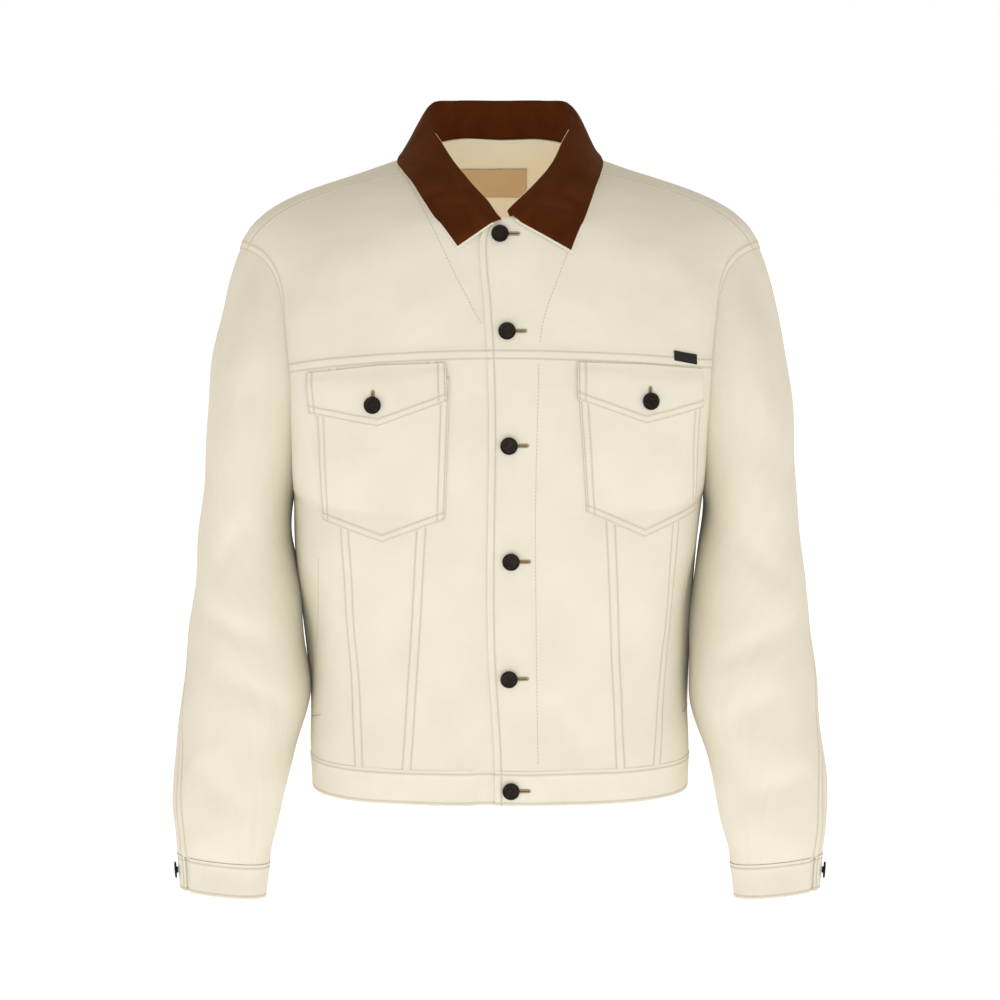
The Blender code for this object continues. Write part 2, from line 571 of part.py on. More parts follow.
def panel_seam(side, seam, up):
    """The across of one of the two slanting seams of the front."""
    at_hem, at_yoke = PANEL_SEAMS[side_name(side)][seam]
    share = (up - HEM_SEAM_UP) / (YOKE_UP - HEM_SEAM_UP)
    return across_at(side, up, at_hem + (at_yoke - at_hem) * share)


def front_drop(side, up, across, full):
    """How far the front that is lapped over is pressed in where the other covers it."""
    from_centre = smooth_body(side, up, across)[..., 0] * side
    return -full * (1 - eased(*LAP_FALL, from_centre)) * (side < 0)


def rows_between(left, right, rows, shares):
    """The up and across of a panel between two edges, each a function of up."""
    up, share = grid(rows, shares)
    return up, left(up) + (right(up) - left(up)) * share


def make_lower_front(side, finish):
    """The three panels between the hem band and the chest seam."""
    rows = (*LOW_ROWS, *CHEST_ROWS, YOKE_UP)
    edges = {
        "centre_front": (lambda up: centre_edge(side, up), lambda up: panel_seam(side, "inner", up)),
        "pocket_panel": (lambda up: panel_seam(side, "inner", up),
                         lambda up: panel_seam(side, "outer", up)),
        "side_front": (lambda up: panel_seam(side, "outer", up), lambda up: np.ones(np.shape(up))),
    }
    for piece, (left, right) in edges.items():
        up, across = rows_between(left, right, rows, PANEL_SHARES[piece])
        up[-1] = yoke_seam(side, across[-1])
        sheet = Sheet()
        sheet.add(*body(side, up, across, front_drop(side, up, across, UNDER_LAP_DROP)))
        sheet.wall(f"{piece}_{side_name(side)}", CLOTH, finish)


def make_front_yoke(side, finish):
    """The yoke, with a strip past the centre as high as the neck."""
    sheet = Sheet()
    up, across = rows_between(lambda up: centre_edge(side, up), lambda up: 0 * up,
                              (YOKE_UP, *YOKE_ROWS[:3]), LAP_SHARES)
    sheet.add(*body(side, up, across, front_drop(side, up, across, UNDER_LAP_DROP)))
    up, across = grid((YOKE_UP, *YOKE_ROWS), YOKE_COLUMNS)
    up[0] = yoke_seam(side, across[0])
    sheet.add(*body(side, up, across, front_drop(side, up, across, UNDER_LAP_DROP)))
    sheet.wall(f"front_yoke_{side_name(side)}", CLOTH, finish)


def make_back(finish):
    for name, rows in (("back_yoke", BACK_YOKE_ROWS),
                       ("back", (*BACK_ROWS, *(2 - np.array(LOW_ROWS[:-1]))[::-1]))):
        sheet = Sheet()
        for side in (-1, 1):
            sheet.add(*body(side, *grid(rows, YOKE_COLUMNS)))
        sheet.wall(name, CLOTH, finish)


def make_hem_band(finish):
    """One strip from the lapped end on the left, round the back, to the end that laps over."""
    sheet = Sheet()
    rows = np.array((0.0, HEM_SEAM_UP / 2, HEM_SEAM_UP))
    for side in (-1, 1):
        for left, right, shares in (
            (lambda up, side=side: centre_edge(side, up), lambda up: 0 * up, LAP_SHARES),
            (lambda up: 0 * up, lambda up: 0 * up + 1, BAND_COLUMNS),
        ):
            up, across = rows_between(left, right, rows, shares)
            drop = front_drop(side, up, across, UNDER_BAND_DROP)
            sheet.add(*body(side, up, across, drop + BAND_RISE))
        up, across = grid(2 - rows, BAND_COLUMNS)
        sheet.add(*body(side, up, across, BAND_RISE))
    sheet.wall("hem_band", BAND, finish)


def sleeve_columns(side, down, part):
    """The angles of a sleeve piece's columns, which turn from the armhole's rows to the cuff's."""
    angles = angle_at(armhole_rows(side))
    seam = angle_at(SLEEVE_SEAM_UP)
    at_seam = seam + (SLEEVE_SEAM_AT_CUFF - seam) * eased(*SLEEVE_TURNS, down)
    if part == "top_sleeve":
        return angles[angles <= seam + 1e-6] * at_seam / seam
    return 360 - (360 - angles[angles >= seam - 1e-6]) * (360 - at_seam) / (360 - seam)


def make_sleeve(side, finish):
    for part in ("top_sleeve", "under_sleeve"):
        angle = np.array([sleeve_columns(side, down, part) for down in SLEEVE_ROWS])
        down = np.broadcast_to(np.array(SLEEVE_ROWS)[:, None], angle.shape)
        sheet = Sheet()
        sheet.add(*sleeve(side, angle, down))
        sheet.wall(f"{part}_{side_name(side)}", CLOTH, finish)


def make_cuff(side, finish):
    """A strip once round, whose end laps over its beginning on the outer side."""
    start = SLEEVE_SEAM_AT_CUFF
    even = np.linspace(0, CUFF_EVEN_TO, CUFF_COLUMNS)
    angles = start + np.array([*even, 354, 360, 375, 360 + CUFF_LAP])
    down, angle = grid((2.0 + CUFF_GAP, 2.5, 3.0), angles)
    drop = UNDER_BAND_DROP * eased(start + CUFF_FALL[0], start + CUFF_FALL[1], angle)
    sheet = Sheet()
    sheet.add(*sleeve(side, angle, down, BAND_RISE - drop))
    sheet.wall(f"cuff_{side_name(side)}", BAND, finish)


def collar_sheet(side, round_share, profile):
    """A point of the collar: round from centre back, 0, to the front, 1, and from seam to edge."""
    names = COLLAR[side_name(side)]
    around, profile = np.broadcast_arrays(np.asarray(round_share, float), np.asarray(profile, float))
    shifted = around * (1 - side * COLLAR_SHIFT)
    seam = neckline(shifted)
    roll = roll_curve(COLLAR, shifted)
    for point in (seam, roll):
        point[..., 0] = side * point[..., 0] + COLLAR_GAP * side * eased(0.9, 1.0, around)
    aside = eased(ROLL_ASIDE_FROM, ROLL_ASIDE_TO, around) - eased(ROLL_BACK_FROM, 1.0, around)
    roll[..., 0] += ROLL_ASIDE * aside
    seam_x = seam[..., 0]
    up = through(COLLAR["round"], names["edge_up"], around)
    edge_x = through(COLLAR["round"], names["edge_x"], around)
    across = across_at(side, up, edge_x)
    edge = smooth_body(side, up, across)
    out = surface_normal(smooth_body, side, up, across)
    edge = edge + out * COLLAR_STANDS_OFF
    rising, falling = roll - seam, edge - roll
    rise = np.linalg.norm(rising, axis=-1, keepdims=True)
    fall = np.linalg.norm(falling, axis=-1, keepdims=True)
    over = unit(unit(rising) + unit(falling))
    lying = unit(falling - out * np.sum(falling * out, axis=-1, keepdims=True))
    lean = np.minimum(ROLL_RADIUS, STAND_LEAN * rise)
    seam = seam + unit(rising) * NECK_GAP
    stand = bezier(seam, seam + rising * STAND_REACH, roll - over * lean, roll, profile / STAND_SHARE)
    leaf = bezier(roll, roll + over * np.minimum(ROLL_RADIUS * ROLL_OVER, LEAF_LEAN * fall),
                  edge - lying * fall * LEAF_REACH, edge, (profile - STAND_SHARE) / (1 - STAND_SHARE))
    share = np.clip((profile - STAND_SHARE) / (1 - STAND_SHARE), 0, 1)
    seam_up = NECK_BACK_UP - np.minimum(shifted, 1) * (NECK_BACK_UP - NECK_FRONT_UP)
    past = np.where(shifted > 1, across_at(side, seam_up, side * seam_x), 0)
    lying_up, lying_across = seam_up + (up - seam_up) * share, past + (across - past) * share
    height = COLLAR_STANDS_OFF + COLLAR_FOLD * (1 - share) ** 2
    flat = smooth_body(side, lying_up, lying_across)
    flat = flat + surface_normal(smooth_body, side, lying_up, lying_across) * height[..., None]
    lies = eased(COLLAR_LIES_FROM, 1, around) * eased(0, COLLAR_LIES_WITHIN, share)
    leaf += (flat - leaf) * lies[..., None]
    return np.where((profile < STAND_SHARE)[..., None], stand, leaf)


def roll_curve(names, at):
    """The collar's roll, which is level at centre back and runs straight on past centre front."""
    stations = names["round"]
    stretched = [-stations[1], *stations, 2 - stations[-2]]

    def column(name, sign):
        values = names[name]
        return through(stretched, [sign * values[1], *values, 2 * values[-1] - values[-2]], at)

    return stack(column("roll_x", -1), column("roll_y", 1), column("roll_z", 1))


def bezier(start, near, far, end, share):
    t = np.clip(share, 0, 1)[..., None]
    return start * (1 - t) ** 3 + 3 * near * t * (1 - t) ** 2 + 3 * far * t**2 * (1 - t) + end * t**3


def collar_normal(side, round_share, profile):
    """The normal of the side of the collar that shows."""
    low, high = np.maximum(profile - 0.01, 0), np.minimum(profile + 0.01, 1)
    around = (collar_sheet(side, round_share + 0.004, profile)
              - collar_sheet(side, round_share - 0.004, profile))
    outward = collar_sheet(side, round_share, high) - collar_sheet(side, round_share, low)
    return unit(side * np.cross(around, outward))


def make_collar(brown, cream):
    """Two layers, the brown one on top and stopping just short of the edge of the cream one.

    The cream one lines the part that lies over, from behind the roll to the edge.
    """
    for name, columns, rows, thickness, lift, finish in (
        ("collar", COLLAR_COLUMNS[:-1], COLLAR_ROWS, COLLAR_CLOTH, 0.0, brown),
        ("under_collar", COLLAR_COLUMNS, UNDER_COLLAR_ROWS, UNDER_COLLAR, -COLLAR_CLOTH - SEAM_GAP,
         cream),
    ):
        sheet = Sheet()
        for side in (-1, 1):
            around, profile = grid(columns, rows)
            points = collar_sheet(side, around, profile)
            normals = collar_normal(side, around, profile)
            points[0, :, 0] = 0
            normals[0, :, 0] = 0
            sheet.add(points + normals * lift, normals)
        sheet.wall(name, thickness, finish)


def make_patch(name, side, outline, lifts, thickness, finish, shares=PATCH_SHARES, rows=8, up=0.55):
    """A piece lying on the cloth. The outline gives x and z of its top and its lower edge."""
    shares = np.array(shares)
    top, bottom = np.array(outline["top"]), np.array(outline["bottom"])
    upper = stack(*(np.interp(shares, np.linspace(0, 1, len(top)), top[:, k]) for k in (0, 1)))
    lower = stack(*(np.interp(shares, np.linspace(0, 1, len(bottom)), bottom[:, k]) for k in (0, 1)))
    down, share = grid(np.linspace(0, 1, rows + 1), shares)
    x = upper[None, :, 0] + (lower - upper)[None, :, 0] * down
    z = upper[None, :, 1] + (lower - upper)[None, :, 1] * down
    lift = lifts[0] + (lifts[1] - lifts[0]) * eased(0, FLAP_FALL, down)
    sheet = Sheet()
    sheet.add(*body(side, *place_at(side, x, z, up), lift))
    return sheet.wall(name, thickness, finish, inset=0)


def make_button(name, point, normal, finish):
    """A shank button: a short post and a dished cap with a rim, turned round the cloth's normal."""
    level = unit(np.cross(np.array([0.0, 0.0, 1.0]), normal))
    upright = np.cross(normal, level)
    points, faces = [], []
    count = BUTTON_SIDES
    for radius, height in BUTTON_PROFILE:
        for k in range(count):
            turn = 2 * math.pi * k / count
            way = level * math.cos(turn) + upright * math.sin(turn)
            points.append(point + way * radius + normal * height)
    for i in range(len(BUTTON_PROFILE) - 1):
        for k in range(count):
            a, b = i * count + k, i * count + (k + 1) % count
            faces.append([a, b, b + count, a + count])
    faces.append(list(range(count))[::-1])
    faces.append([(len(BUTTON_PROFILE) - 1) * count + k for k in range(count)])
    mesh = bpy.data.meshes.new(name)
    mesh.from_pydata([tuple(p) for p in points], [], faces)
    mesh.materials.append(finish)
    mesh.shade_smooth()
    mesh.set_sharp_from_angle(angle=math.radians(35))
    made = bpy.data.objects.new(name, mesh)
    bpy.context.scene.collection.objects.link(made)
    return made


def main():
    for thing in list(bpy.data.objects):
        bpy.data.objects.remove(thing, do_unlink=True)
    twill = material("cream twill", (0.78, 0.72, 0.58), 0.9)
    band = material("cream twill band", (0.80, 0.74, 0.60), 0.9)
    nap = material("brown nap", (0.07, 0.022, 0.006), 0.85)
    label_cloth = material("beige label", (0.42, 0.31, 0.17), 0.7)
    black_tab = material("black tab", (0.012, 0.012, 0.013), 0.6)
    bronze = material("dark bronze", (0.035, 0.022, 0.015), 0.35, 0.9)
    for side in (-1, 1):
        make_front_yoke(side, twill)
        make_lower_front(side, twill)
        make_sleeve(side, twill)
        make_cuff(side, band)
        name = side_name(side)
        make_patch(f"pocket_{name}", side, POCKETS[name], (POCKET_RISE, POCKET_RISE), POCKET_CLOTH, twill)
        make_patch(f"flap_{name}", side, FLAPS[name], FLAP_RISE, FLAP_CLOTH, twill, rows=4)
        up, across = place_at(side, *FLAP_BUTTONS[name], 0.6)
        point, normal = body(side, up, across, FLAP_RISE[1] + SEAM_GAP)
        make_button(f"flap_button_{name}", point, normal, bronze)
        point, normal = sleeve(side, CUFF_BUTTON_ANGLE, 2.5, BAND_RISE + SEAM_GAP)
        make_button(f"cuff_button_{name}", point, normal, bronze)
    make_back(twill)
    make_hem_band(band)
    make_collar(nap, twill)
    for number, (x, z) in enumerate(FRONT_BUTTONS, 1):
        up, across = place_at(1, x, z, 0.4)
        point, normal = body(1, up, across, SEAM_GAP + BAND_RISE * (up < HEM_SEAM_UP))
        make_button(f"front_button_{number}", point, normal, bronze)
    make_patch("tab", 1, TAB, (TAB_RISE, TAB_RISE), TAB_CLOTH, black_tab, TAB_SHARES, 2, 0.7)
    make_patch("neck_label", 1, NECK_LABEL, (LABEL_DEPTH, LABEL_DEPTH), LABEL_CLOTH, label_cloth,
               TAB_SHARES, 3, 1.16)


main()
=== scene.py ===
import math
from functools import partial

import bpy
import numpy as np
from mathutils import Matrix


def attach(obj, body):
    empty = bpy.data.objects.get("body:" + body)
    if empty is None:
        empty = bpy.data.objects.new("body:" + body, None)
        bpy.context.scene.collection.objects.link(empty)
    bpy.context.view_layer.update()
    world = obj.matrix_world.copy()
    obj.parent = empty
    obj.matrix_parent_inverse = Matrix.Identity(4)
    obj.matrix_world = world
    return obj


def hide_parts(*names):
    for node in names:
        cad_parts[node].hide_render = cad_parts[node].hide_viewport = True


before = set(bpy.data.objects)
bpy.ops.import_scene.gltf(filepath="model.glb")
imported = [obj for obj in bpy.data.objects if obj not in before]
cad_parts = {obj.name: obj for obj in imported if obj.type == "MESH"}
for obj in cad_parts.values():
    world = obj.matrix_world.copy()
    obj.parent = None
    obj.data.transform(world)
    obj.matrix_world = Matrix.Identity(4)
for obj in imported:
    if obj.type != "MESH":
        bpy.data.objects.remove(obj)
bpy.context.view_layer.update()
print("frame loaded:", len(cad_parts), "nodes")

# The jacket's form, in metres, as the solids have it.
# Left and right are those of a person looking at the front. A place on the body is up, from 0 at
# the front hem over the shoulder to 2 at the back hem, and across, from 0 at the centre to 1.

clothThickness = 0.0014
bandThickness = 0.0024
bandRise = 0.0005
underLapTo = 0.0285
underLapDrop = 0.0020
underBandDrop = 0.0029
lapFall = (0.0200, 0.0310)

hemSeamUp = 0.06
underarmUp = 0.45
yokeUp = 0.689
yokeRise = {"left": 0.003, "right": 0.012}
neckFrontUp = 0.88
shoulderSeamUp = 0.968
neckBackUp = 1.12
backYokeUp = 1.335
backUnderarmUp = 1.55
sleeveSeamUp = 1.18
sleeveSeamAtCuff = 143

# The centre line, front hem to front neck and back neck to back hem.
frontLine = {
    "up": (0.00, 0.06, 0.25, 0.45, 0.57, 0.70, 0.80, 0.88),
    "y": (-0.128, -0.1295, -0.1365, -0.145, -0.1465, -0.142, -0.134, -0.122),
    "z": (-0.622, -0.588, -0.478, -0.345, -0.270, -0.191, -0.125, -0.067),
}
backLine = {
    "up": (1.12, 1.20, 1.30, 1.37, 1.55, 1.75, 1.94, 2.00),
    "y": (0.072, 0.098, 0.120, 0.129, 0.133, 0.127, 0.121, 0.119),
    "z": (0.009, -0.045, -0.120, -0.180, -0.335, -0.470, -0.588, -0.622),
}
# The neckline, centre back to centre front, by the share of the way round.
necklinePlaces = {
    "round": (0.00, 0.20, 0.38, 0.50, 0.62, 0.75, 0.87, 1.00),
    "x": (0.000, 0.042, 0.068, 0.080, 0.076, 0.062, 0.037, 0.000),
    "y": (0.072, 0.066, 0.044, 0.012, -0.024, -0.064, -0.099, -0.122),
    "z": (0.009, 0.009, 0.002, -0.011, -0.020, -0.032, -0.051, -0.067),
}
# The side seam, hem to underarm. The left of the jacket is a little fuller under the arm.
sideSeam = {
    "up": (0.00, 0.06, 0.15, 0.22, 0.30, 0.38, 0.45),
    "left": (0.1850, 0.1855, 0.1865, 0.1900, 0.1960, 0.2015, 0.2020),
    "right": (0.1850, 0.1855, 0.1850, 0.1865, 0.1890, 0.1930, 0.1990),
    "z": (-0.622, -0.588, -0.538, -0.495, -0.440, -0.385, -0.333),
}
armholeShape = {"middle": -0.2155, "halfHeight": 0.1175, "halfDepth": 0.078, "squareness": 0.82}
armholeWidth = {
    "angle": (0, 30, 60, 93, 115, 130, 145, 158, 170, 180),
    "x": (0.2005, 0.1985, 0.1975, 0.1995, 0.2045, 0.2095, 0.2180, 0.2300, 0.2440, 0.2530),
}
armholeAngles = {
    "up": (0.45, 0.57, 0.70, 0.88, 1.00, 1.12, 1.32, 1.55),
    "angle": (0, 47, 93, 142, 180, 218, 268, 360),
}
# The two middle handles of each row of the body: one a place, one a reach back from the row's end.
rowHandles = {
    "up": (0.0, 0.06, 0.25, 0.45, 0.48, 0.52, 0.57, 0.70, 0.80, 0.88, 0.94, 1.0,
           1.06, 1.12, 1.20, 1.34, 1.55, 1.75, 2.0),
    "nearX": (0.139, 0.141, 0.148, 0.150, 0.148, 0.144, 0.138, 0.126, 0.122, 0.120, 0.125, 0.140,
               0.130, 0.120, 0.116, 0.120, 0.128, 0.130, 0.128),
    "nearY": (-0.128, -0.1295, -0.1375, -0.146, -0.1465, -0.1467, -0.1465, -0.141, -0.131, -0.111,
               -0.064, 0.010, 0.052, 0.084, 0.108, 0.129, 0.134, 0.127, 0.119),
    "nearZ": (-0.622, -0.588, -0.478, -0.345, -0.327, -0.302, -0.270, -0.191, -0.123, -0.072,
               -0.041, -0.0275, -0.031, -0.043, -0.070, -0.158, -0.335, -0.470, -0.622),
    "farX": (0.0, 0.0, -0.012, -0.005, -0.003, 0.001, 0.006, 0.010, -0.002, -0.022, -0.022, -0.011,
              -0.022, -0.026, -0.016, -0.004, 0.0, 0.0, 0.0),
    "farY": (-0.092, -0.094, -0.105, -0.120, -0.106, -0.086, -0.066, -0.044, -0.042, -0.040, -0.018,
              0.0, 0.018, 0.040, 0.042, 0.048, 0.095, 0.088, 0.080),
    "farZ": (0.0, 0.0, 0.0, 0.0, 0.0, 0.0, 0.0, 0.003, 0.008, 0.016, 0.039, 0.0545,
              0.039, 0.016, 0.008, 0.002, 0.0, 0.0, 0.0),
}

armTop, cuffSeam, cuffEdge = -0.385, -0.6875, -0.7215
armSquareness = 0.9
# The sleeve below the underarm, by height.
armShape = {
    "z": (-0.7335, -0.7215, -0.6875, -0.6765, -0.646, -0.620, -0.580, -0.530, -0.480, -0.430, -0.385),
    "outer": (0.3115, 0.3120, 0.3146, 0.3160, 0.3184, 0.3178, 0.3150, 0.3103, 0.3040, 0.2982, 0.2937),
    "innerLeft": (0.2293, 0.2286, 0.2246, 0.2233, 0.2158, 0.2100, 0.2005, 0.1854, 0.1897, 0.1960,
                   0.2024),
    "innerRight": (0.2293, 0.2286, 0.2246, 0.2233, 0.2158, 0.2100, 0.2005, 0.1837, 0.1854, 0.1888,
                    0.1942),
    "halfDepth": (0.0280, 0.0285, 0.0300, 0.0350, 0.0455, 0.0510, 0.0585, 0.0670, 0.0740, 0.0795,
                   0.0830),
    "middleY": (-0.050, -0.050, -0.048, -0.047, -0.044, -0.041, -0.036, -0.030, -0.024, -0.018, -0.012),
    "tilt": (0.11, 0.11, 0.11, 0.11, 0.10, 0.08, 0.05, 0.02, 0.0, 0.0, 0.0),
}
# The way the sleeve leaves the armhole, by the angle round it.
sleeveLeaves = {
    "angle": (0, 45, 90, 135, 180),
    "x": (0.03, 0.50, 0.80, 0.74, 0.38),
    "y": (0.0, -0.40, -0.30, -0.22, 0.0),
    "z": (-1.0, -0.77, -0.50, -0.64, -0.92),
}

# How long a degree round a sleeve is, for its folds.
metresPerDegree = 0.0011
# For finding a place on the body from its x and z.
halfBody, searchSteps, searchReach = 0.2, 8, 0.001
# Soft troughs in the cloth: a line from one place to another, half its width and its depth.
# On the body a place is x and z, on a sleeve the angle times a length and z.
frontFolds = (
    (-0.180, -0.400, -0.188, -0.520, 0.016, 0.0035),
    (0.184, -0.400, 0.178, -0.540, 0.017, 0.0040),
    (0.050, -0.520, 0.078, -0.575, 0.014, 0.0030),
    (-0.060, -0.480, -0.030, -0.575, 0.016, 0.0025),
    (0.150, -0.470, 0.120, -0.560, 0.015, 0.0028),
    (-0.150, -0.450, -0.120, -0.560, 0.017, 0.0025),
)
backFolds = (
    (-0.150, -0.240, -0.110, -0.420, 0.022, 0.0045),
    (0.155, -0.250, 0.120, -0.400, 0.020, 0.0040),
    (-0.070, -0.460, -0.090, -0.580, 0.018, 0.0030),
    (0.060, -0.440, 0.100, -0.575, 0.020, 0.0035),
)
sleeveFolds = {
    "left": (
        (0.060, -0.330, 0.130, -0.400, 0.014, 0.0035),
        (0.070, -0.470, 0.160, -0.440, 0.013, 0.0035),
        (0.050, -0.540, 0.120, -0.500, 0.012, 0.0030),
        (0.210, -0.400, 0.310, -0.450, 0.016, 0.0045),
        (0.230, -0.500, 0.330, -0.520, 0.014, 0.0040),
        (0.080, -0.640, 0.130, -0.590, 0.012, 0.0025),
    ),
    "right": (
        (0.055, -0.350, 0.125, -0.410, 0.014, 0.0035),
        (0.060, -0.490, 0.150, -0.450, 0.013, 0.0035),
        (0.060, -0.560, 0.115, -0.520, 0.012, 0.0030),
        (0.220, -0.410, 0.320, -0.440, 0.016, 0.0045),
        (0.220, -0.480, 0.320, -0.530, 0.014, 0.0040),
        (0.075, -0.620, 0.140, -0.600, 0.012, 0.0025),
    ),
}

# Folds fade towards the side seam and the shoulder's top, and where a sleeve starts and ends.
foldTaper, foldsFadeFrom = 1.7, 0.90
shoulderTopUp, shoulderCalm = 0.985, 0.16
sleeveFoldsStart, sleeveFoldsEnd = (0, 0.25), (1.9, 2.0)

# Low waves in the cloth: how long each is in x and in z, how deep, and where it starts.
waveTurn = 9
bodyWaves = (
    (0.093, 0.410, 0.00055, 0.3), (0.071, -0.190, 0.00040, 2.1), (0.155, 0.120, 0.00050, 4.0),
    (-0.118, 0.083, 0.00030, 1.2), (0.052, 0.260, 0.00022, 5.1),
)
# On a sleeve: how many go round it, how long each is in z, how deep, and where it starts.
sleeveWaves = (
    (2, 0.190, 0.00070, 0.6), (3, -0.130, 0.00050, 2.7), (5, 0.095, 0.00030, 4.4), (1, 0.085, 0.00045, 1.9),
)

lapEdgePlaces = {
    "up": (0.0, 0.06, 0.26, 0.66, 0.70, 0.74, 0.78, 0.82, 0.86, 0.88),
    "past": (0.0047, 0.0050, 0.0112, 0.0112, 0.0121, 0.0137, 0.0156, 0.0183, 0.0180, 0.0125),
}
# The slanting seams of the front: how far out they are at the hem band and at the chest seam.
panelSeams = {
    "left": {"inner": (0.0886, 0.0633), "outer": (0.1343, 0.1551)},
    "right": {"inner": (0.1144, 0.0965), "outer": (0.1497, 0.1777)},
}
cuffLap, cuffGap, cuffFall = 45, 0.012, (348, 359)
cuffButtonAngle = 176

collarCloth, underCollar = 0.0014, 0.0010
collarStandsOff, neckGap, collarGap, collarShift = 0.0039, 0.0006, 0.0018, 0.0176
# The brown layer stops short of the cream one, by this share of each.
collarShortEdge, collarShortEnd = 0.98, 0.993
standShare, rollRadius = 0.35, 0.006
# The handles of the collar's curve, as shares of its rise to the roll and its fall to the edge.
standReach, standLean, leafReach, leafLean, rollOver = 0.45, 0.35, 0.2, 0.3, 1.6
# The roll lies a little to the right of the middle towards the front.
rollAside, rollAsideFrom, rollAsideTo, rollBackFrom = 0.0035, 0.45, 0.80, 0.88
# Towards the front the collar folds flat, and follows the yoke beneath it.
collarLiesFrom, collarLiesWithin, collarFold = 0.78, 0.3, 0.0038
# The collar by its share of the way from centre back to front: its roll, and where its edge lies.
collarShape = {
    "round": (0.00, 0.20, 0.38, 0.50, 0.62, 0.75, 0.87, 1.00),
    "rollX": (0.000, 0.042, 0.0665, 0.0715, 0.0580, 0.0450, 0.0270, 0.000),
    "rollY": (0.066, 0.062, 0.040, 0.012, -0.027, -0.056, -0.090, -0.1262),
    "rollZ": (0.0475, 0.0475, 0.0435, 0.028, 0.006, -0.016, -0.0370, -0.0645),
    "left": {
        "edgeUp": (1.165, 1.120, 1.070, 1.005, 0.966, 0.930, 0.888, 0.8425),
        "edgeX": (0.000, 0.060, 0.0910, 0.1005, 0.0935, 0.0800, 0.0610, 0.0393),
    },
    "right": {
        "edgeUp": (1.165, 1.120, 1.070, 1.005, 0.962, 0.928, 0.886, 0.840),
        "edgeX": (0.000, 0.060, 0.0910, 0.1005, 0.0970, 0.0895, 0.0785, 0.0672),
    },
}

pocketRise, pocketCloth = 0.00195, 0.0011
flapRise, flapFall, flapCloth = (0.0020, 0.0038), 0.3, 0.0013
# Corners as x from the centre line and z, the top edge and then the lower one, from the centre out.
pocketShape = {
    "left": {
        "top": ((0.0465, -0.2150), (0.1090, -0.2200), (0.1735, -0.2262)),
        "bottom": ((0.0518, -0.3475), (0.1101, -0.3694), (0.1668, -0.3510)),
    },
    "right": {
        "top": ((0.0727, -0.2145), (0.1330, -0.2180), (0.1895, -0.2225)),
        "bottom": ((0.0815, -0.3405), (0.1356, -0.3654), (0.1850, -0.3450)),
    },
}
flapShape = {
    "left": {
        "top": ((0.0502, -0.2008), (0.1134, -0.2035), (0.1817, -0.2122)),
        "bottom": ((0.0493, -0.2370), (0.1134, -0.2608), (0.1789, -0.2496)),
    },
    "right": {
        "top": ((0.0721, -0.2000), (0.1361, -0.2028), (0.1929, -0.2085)),
        "bottom": ((0.0726, -0.2352), (0.1361, -0.2584), (0.1922, -0.2442)),
    },
}
flapButtons = {"left": (0.1175, -0.2403), "right": (0.1392, -0.2369)}
frontButtons = (
    (0.0, -0.0815), (0.0065, -0.1711), (0.0084, -0.2778),
    (0.0103, -0.3870), (0.0085, -0.4988), (0.0104, -0.6071),
)
tabShape = {
    "top": ((0.1631, -0.1900), (0.1846, -0.1945)),
    "bottom": ((0.1631, -0.1995), (0.1847, -0.2040)),
}
tabFacts = {"rise": (0.0012, 0.0012), "thickness": 0.0008, "bulge": 0.0, "near": 0.7}
labelShape = {
    "top": ((-0.0390, -0.0190), (0.0270, -0.0190)),
    "bottom": ((-0.0390, -0.0470), (0.0270, -0.0470)),
}
labelFacts = {"rise": (-0.0022, -0.0022), "thickness": 0.0006, "bulge": 0.0, "near": 1.16}


def grid(first, second):
    return np.meshgrid(np.asarray(first, float), np.asarray(second, float), indexing="ij")


def sideName(side):
    return "left" if side < 0 else "right"


# Where the smooth curve through the values at the stations is, for each entry of at
def through(stations, values, at):
    stations = np.asarray(stations, float)
    values = np.asarray(values, float)
    at = np.asarray(at, float)
    step = np.diff(stations)
    slope = np.diff(values) / step
    tangent = np.concatenate([
        slope[:1],
        (slope[:-1] * step[1:] + slope[1:] * step[:-1]) / (step[:-1] + step[1:]),
        slope[-1:],
    ])
    i = np.clip(np.searchsorted(stations, at, side="right") - 1, 0, len(step) - 1)
    t = (at - stations[i]) / step[i]
    h = step[i]
    return (
        values[i] * (2 * t**3 - 3 * t**2 + 1)
        + values[i + 1] * (3 * t**2 - 2 * t**3)
        + tangent[i] * h * (t**3 - 2 * t**2 + t)
        + tangent[i + 1] * h * (t**3 - t**2)
    )


def stack(*parts):
    return np.stack(np.broadcast_arrays(*parts), axis=-1).astype(float)


# 0 below low, 1 above high, and smooth between
def eased(low, high, value):
    t = np.clip((value - low) / (high - low), 0, 1)
    return t * t * (3 - 2 * t)


def unit(vectors):
    return vectors / np.maximum(np.linalg.norm(vectors, axis=-1, keepdims=True), 1e-12)


# A point of the neckline. It is level where it crosses the centre, front and back
def neckline(roundShare):
    at = np.abs(roundShare)
    table = necklinePlaces
    stations = np.array([-table["round"][1], *table["round"], 2 - table["round"][-2]])

    def column(name, sign):
        values = table[name]
        return through(stations, [sign * values[1], *values, sign * values[-2]], at)

    return stack(column("x", -1), column("y", 1), column("z", 1))


# A point of the armhole seam, for a side of -1 or 1 and an angle in degrees
def armhole(side, angle):
    turned = np.radians(angle)
    folded = np.where(np.asarray(angle) > 180, 360 - np.asarray(angle, float), angle)
    sine = np.sin(turned)
    x = through(armholeWidth["angle"], armholeWidth["x"], folded)
    x = x + (sideSeam[sideName(side)][-1] - armholeWidth["x"][0]) * (1 - eased(0, 90, folded))
    power = 1 + (armholeShape["squareness"] - 1) * eased(0, 45, folded)
    y = -armholeShape["halfDepth"] * np.sign(sine) * np.abs(sine) ** power
    z = armholeShape["middle"] - armholeShape["halfHeight"] * np.cos(turned)
    return stack(x, y, z)


